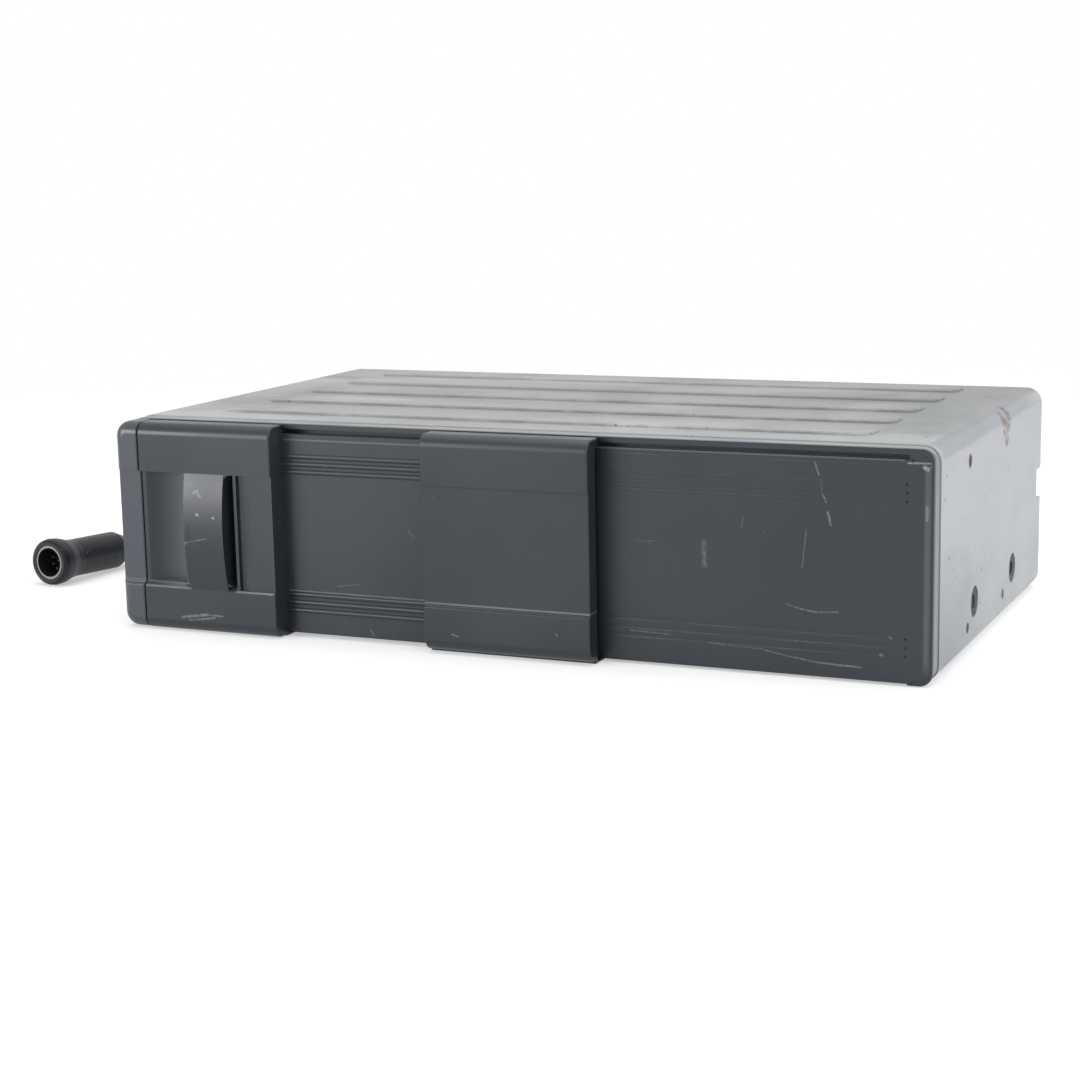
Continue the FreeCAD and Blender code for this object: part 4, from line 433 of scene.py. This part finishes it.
# A painted highlight along the cover's lower step.
cover_edge_highlight = [(15.5, 0.35, -21.2, 31.5, 0.55)]
use(dark_plastic("cover plastic", charcoal, cover_marks, nicks=cover_painted_shadow_lines, edges=cover_edge_highlight),
    "centre_cover")


# ---- Slot plate, eject button and latch
# Black moulded plate behind the door, with the magazine's slot and an opening for the moulded button. The
# button's plunger swings a plated steel lever, which hooks the magazine.
def moulded(name, base, rough=0.55):
    f = Finish(name)
    cloud = f.noise(60.0, detail=3.0)
    colour = f.mix(cloud * 0.2, base, tone(96, 96, 96))
    return f.paint(colour, rough + 0.1 * cloud, 0.0, f.bump(f.noise(2200.0), 0.00002))


black_plastic = moulded("black plastic", tone(38, 39, 41))
use(black_plastic, "slot_bezel", "eject_button")
use(zinc, "magazine_latch")


# ---- Eject button's spring
# Round steel wire, five turns round the button's plunger. It rides on the button as one rigid piece; on the
# real button it shortens as that is pressed, because its far end bears on the fixed bracket.
def bright_metal(name, base, rough):
    f = Finish(name)
    cloud = f.noise(150.0, detail=3.0)
    return f.paint(base, rough + 0.12 * cloud, 1.0, f.bump(f.noise(1500.0), 0.00001, strength=0.4))


spring_steel = bright_metal("spring steel", tone(176, 176, 174), 0.3)
spring_low, spring_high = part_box("eject_spring")
wire_radius = 0.000225
wire_sides = 8
spring_turns = 5
coil_radius = (spring_high.x - spring_low.x) / 2 - wire_radius
spring_axis = (spring_low + spring_high) / 2
bpy.ops.object.select_all(action="DESELECT")
bpy.ops.mesh.primitive_circle_add(vertices=wire_sides, radius=wire_radius,
                                  location=(spring_axis.x, spring_low.y + wire_radius, spring_axis.z))
spring = bpy.context.object
spring.name = spring.data.name = "button_spring"
bpy.ops.object.mode_set(mode="EDIT")
bpy.ops.mesh.select_all(action="SELECT")
bpy.ops.transform.translate(value=(coil_radius, 0, 0))
bpy.ops.object.mode_set(mode="OBJECT")
winding = spring.modifiers.new("winding", "SCREW")
winding.axis = "Y"
winding.steps = winding.render_steps = 24
winding.iterations = spring_turns
winding.screw_offset = (spring_high.y - spring_low.y - 2 * wire_radius) / spring_turns
bpy.ops.object.modifier_apply(modifier="winding")
bpy.ops.object.mode_set(mode="EDIT")
bpy.ops.mesh.select_all(action="SELECT")
bpy.ops.mesh.fill_holes(sides=wire_sides)
bpy.ops.mesh.normals_make_consistent(inside=False)
bpy.ops.object.mode_set(mode="OBJECT")
bpy.ops.object.transform_apply(location=True, rotation=False, scale=False)
bpy.ops.object.shade_smooth_by_angle(angle=math.radians(60))
spring.data.materials.append(spring_steel)
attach(spring, "eject_button")
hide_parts("eject_spring")
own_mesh(spring)


# ---- Magazine, trays and discs
# Black moulded case that slides into a black moulded cradle, with six pale plastic trays. Each tray seats a
# disc of clear plastic, silvered between its hub and its rim.
levels = range(1, 7)
disc_hub = (-0.0545, 0.005)
silver_in, silver_out = 0.0232, 0.0582
tray_plastic = moulded("tray plastic", tone(188, 187, 182), 0.5)
use(black_plastic, "magazine_shell", "magazine_guide")
use(tray_plastic, *["tray_%d" % i for i in levels])


def disc_finish(name, hub):
    """Silver under clear plastic; rings of track show as a fine radial change of gloss."""
    f = Finish(name)
    dx, dy = f.x - hub[0], f.y - hub[1]
    radius = (dx * dx + dy * dy) ** 0.5
    silver = radius.between(0.0225, silver_in) * radius.between(0.0587, silver_out)
    track = (radius * 9000.0).sine()
    colour = f.mix(silver, tone(205, 208, 210), tone(196, 199, 204))
    return f.paint(colour, 0.16 + 0.03 * track, silver * 0.9, Coat_Weight=0.6, Coat_Roughness=0.05)


use(disc_finish("disc", disc_hub), *["disc_%d" % i for i in levels])


# ---- Chassis, pads and main board
# Chassis bent from plated steel sheet, which floats on black rubber spools. The circuit board with its
# larger parts stands on it under the magazine, lacquered green.
def rubber(name, base):
    f = Finish(name)
    bloom = f.noise(90.0, detail=4.0).between(0.4, 0.7)
    colour = f.mix(bloom * 0.3, base, tone(86, 86, 86))
    grain = f.noise(1800.0, detail=3.0)
    return f.paint(colour, 0.6 + 0.15 * bloom, 0.0, f.bump(grain, 0.00003, strength=0.6))


def board_finish(name):
    """Green lacquer with darker tracks; the parts that stand on the board are black."""
    f = Finish(name)
    on_parts = f.z.between(0.0083, 0.0085)
    tracks = f.noise(140.0, detail=1.0, stretch=(1, 4, 1)).between(0.48, 0.52)
    green = f.mix(tracks * 0.6, tone(38, 104, 62), tone(26, 78, 46))
    return f.paint(f.mix(on_parts, green, tone(34, 34, 36)), 0.35 + 0.2 * on_parts)


black_rubber = rubber("black rubber", tone(40, 40, 41))
use(zinc, "mech_chassis")
use(black_rubber, "damper_pads")
use(board_finish("board lacquer"), "main_board")


# ---- Lift
# Two plated steel plates with racked edges, whose sloping slots raise the deck's pins. A motor drives the
# front one by a brass pinion, and a cross shaft with two pinions takes the rear one along.
brass = bright_metal("turned brass", tone(196, 164, 96), 0.28)
use(zinc, "cam_plate_front", "cam_plate_rear", "lift_motor")
use(brass, "lift_shaft", "lift_pinion")


# ---- Play deck and pickup
# Plated steel deck with the flat arm of the disc's clamp over it. The black moulded pickup frame rises on
# posts of the deck and carries turntable, rods, lead screw and the sled with the lens.
use(zinc, "play_deck", "clamp_bridge", "sled_motor", "spindle_motor")
use(black_plastic, "clamp_puck", "pickup_chassis", "turntable", "pickup_sled")
use(spring_steel, "sled_rods")
use(brass, "sled_screw")


def lens_glass(name):
    f = Finish(name)
    tint = f.noise(300.0, detail=1.0)
    return f.paint(f.mix(tint, tone(96, 110, 150), tone(120, 130, 165)), 0.08, Coat_Weight=1.0)


use(lens_glass("lens"), "pickup_lens")


# ---- Lead
# Round black PVC lead from the rear grommet, laid beside the case, with its moulded socket at the front.
# The curve runs through the solid's own route.
cord_radius = 0.0029
cord_route = [(-0.095, 0.0776, 0.022), (-0.095, 0.099, 0.022), (-0.101, 0.117, 0.0095),
              (-0.118, 0.131, 0.0032), (-0.146, 0.137, 0.003), (-0.172, 0.126, 0.003),
              (-0.187, 0.101, 0.003), (-0.191, 0.072, 0.003), (-0.190, 0.045, 0.0036),
              (-0.186801, 0.031405, 0.005646), (-0.188195, 0.015481, 0.006344)]
jacket = bpy.data.curves.new("lead", "CURVE")
jacket.dimensions = "3D"
jacket.bevel_depth = cord_radius
jacket.bevel_resolution = 8
jacket.resolution_u = 24
jacket.use_fill_caps = True
path = jacket.splines.new("NURBS")
path.points.add(len(cord_route) - 1)
for point, place in zip(path.points, cord_route):
    point.co = (*place, 1.0)
path.order_u = 3
path.use_endpoint_u = True
lead = bpy.data.objects.new("lead", jacket)
bpy.context.scene.collection.objects.link(lead)
lead.data.materials.append(rubber("lead jacket", tone(46, 47, 50)))
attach(lead, "case")
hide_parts("cord")


def socket_plastic(name):
    """Black moulding, greyed by handling, with a few light scuffs along the grip."""
    f = Finish(name)
    scuff = f.noise(500.0, detail=3.0, stretch=(1, 0.25, 1)).between(0.66, 0.74)
    cloud = f.noise(80.0, detail=3.0, shift=3.0)
    colour = f.mix(cloud * 0.3, tone(12, 15, 21), tone(32, 37, 46))
    colour = f.mix(scuff * 0.5, colour, tone(110, 112, 116))
    return f.paint(colour, 0.30 + 0.15 * cloud, 0.0, f.bump(f.noise(1500.0), 0.00002),
                   Specular_IOR_Level=0.3)


use(socket_plastic("socket plastic"), "connector_body")
use(bright_metal("socket ring", tone(112, 115, 106), 0.34), "connector_ring")
use(black_plastic, "connector_core")
use(black_rubber, "cord_grommet")


# ---- Studio
# White floor and surroundings, soft light from above and both sides, a small lamp for the front's right-hand
# edges, and the camera. The floor keeps the object's shadow near it and turns plain white further away.
white = (1, 1, 1, 1)
floor_size = 40.0
floor_glow = 0.42
shadow_end, plain_start = 0.25, 0.75
room_light = 0.36


def in_view(shading):
    """1 on what the camera sees, straight or by way of metal or glass, and 0 on what lights the object."""
    return strongest([shading.node("ShaderNodeLightPath", out="Is %s Ray" % ray)
                      for ray in ("Camera", "Glossy", "Transmission")])


def floor_paint(name):
    f = Finish(name)
    seen = in_view(f)
    away = (f.x * f.x + f.y * f.y) ** 0.5
    far = away.between(shadow_end, plain_start)
    matt = f.node("ShaderNodeBsdfDiffuse", {}, {"Color": tone(238, 238, 238)})
    glow = f.node("ShaderNodeEmission", {}, {"Color": white, "Strength": seen * floor_glow})
    shaded = f.node("ShaderNodeAddShader", {}, {0: matt, 1: glow})
    plain = f.node("ShaderNodeEmission", {}, {"Color": white, "Strength": 1.0})
    both = f.node("ShaderNodeMixShader", {}, {0: far * seen, 1: shaded, 2: plain})
    f.node("ShaderNodeOutputMaterial", {}, {"Surface": both})
    return f.material


bpy.ops.object.select_all(action="DESELECT")
bpy.ops.mesh.primitive_plane_add(size=floor_size, location=(0, 0, 0))
floor = bpy.context.object
floor.name = "floor"
floor.data.materials.append(floor_paint("white floor"))

world = bpy.data.worlds.new("studio")
bpy.context.scene.world = world
room = Shading(world)
soft = room.node("ShaderNodeBackground", {}, {"Color": white, "Strength": room_light})
plain = room.node("ShaderNodeBackground", {}, {"Color": white, "Strength": 1.0})
blend = room.node("ShaderNodeMixShader", {}, {0: in_view(room), 1: soft, 2: plain})
room.node("ShaderNodeOutputWorld", {}, {"Surface": blend})


def lamp(name, place, target, size, power):
    """Soft rectangular lamp at a place, aimed at a target."""
    data = bpy.data.lights.new(name, "AREA")
    data.shape = "RECTANGLE"
    data.size, data.size_y = size
    data.energy = power
    made = bpy.data.objects.new(name, data)
    bpy.context.scene.collection.objects.link(made)
    made.location = place
    made.rotation_euler = (Vector(place) - Vector(target)).to_track_quat("Z", "Y").to_euler()


case_middle = (0, 0, 0.03)
lamp("top light", (0.0, 0.1, 1.5), (0, 0, 0), (1.6, 1.6), 11.2)
lamp("left light", (-1.25, -1.4, 0.38), case_middle, (1.0, 0.6), 18.0)
lamp("right light", (1.5, 0.2, 0.5), case_middle, (1.2, 0.9), 7.8)
lamp("edge light", (1.2, -0.95, 0.4), case_middle, (0.45, 0.8), 4.5)

eye = (0.26643, -0.63203, 0.15114)
yaw, pitch, roll = math.radians(24.181), math.radians(10.637), math.radians(-1.189)
sensor_mm, lens_mm = 36.0, 71.58
camera = bpy.data.objects.new("camera", bpy.data.cameras.new("camera"))
bpy.context.scene.collection.objects.link(camera)
camera.data.sensor_width = sensor_mm
camera.data.lens = lens_mm
camera.data.clip_start = 0.01
camera.location = eye
look = Euler((math.pi / 2 - pitch, 0.0, yaw)).to_matrix() @ Euler((0.0, 0.0, roll)).to_matrix()
camera.rotation_euler = look.to_euler()
bpy.context.scene.camera = camera
bpy.context.scene.view_settings.view_transform = "Standard"
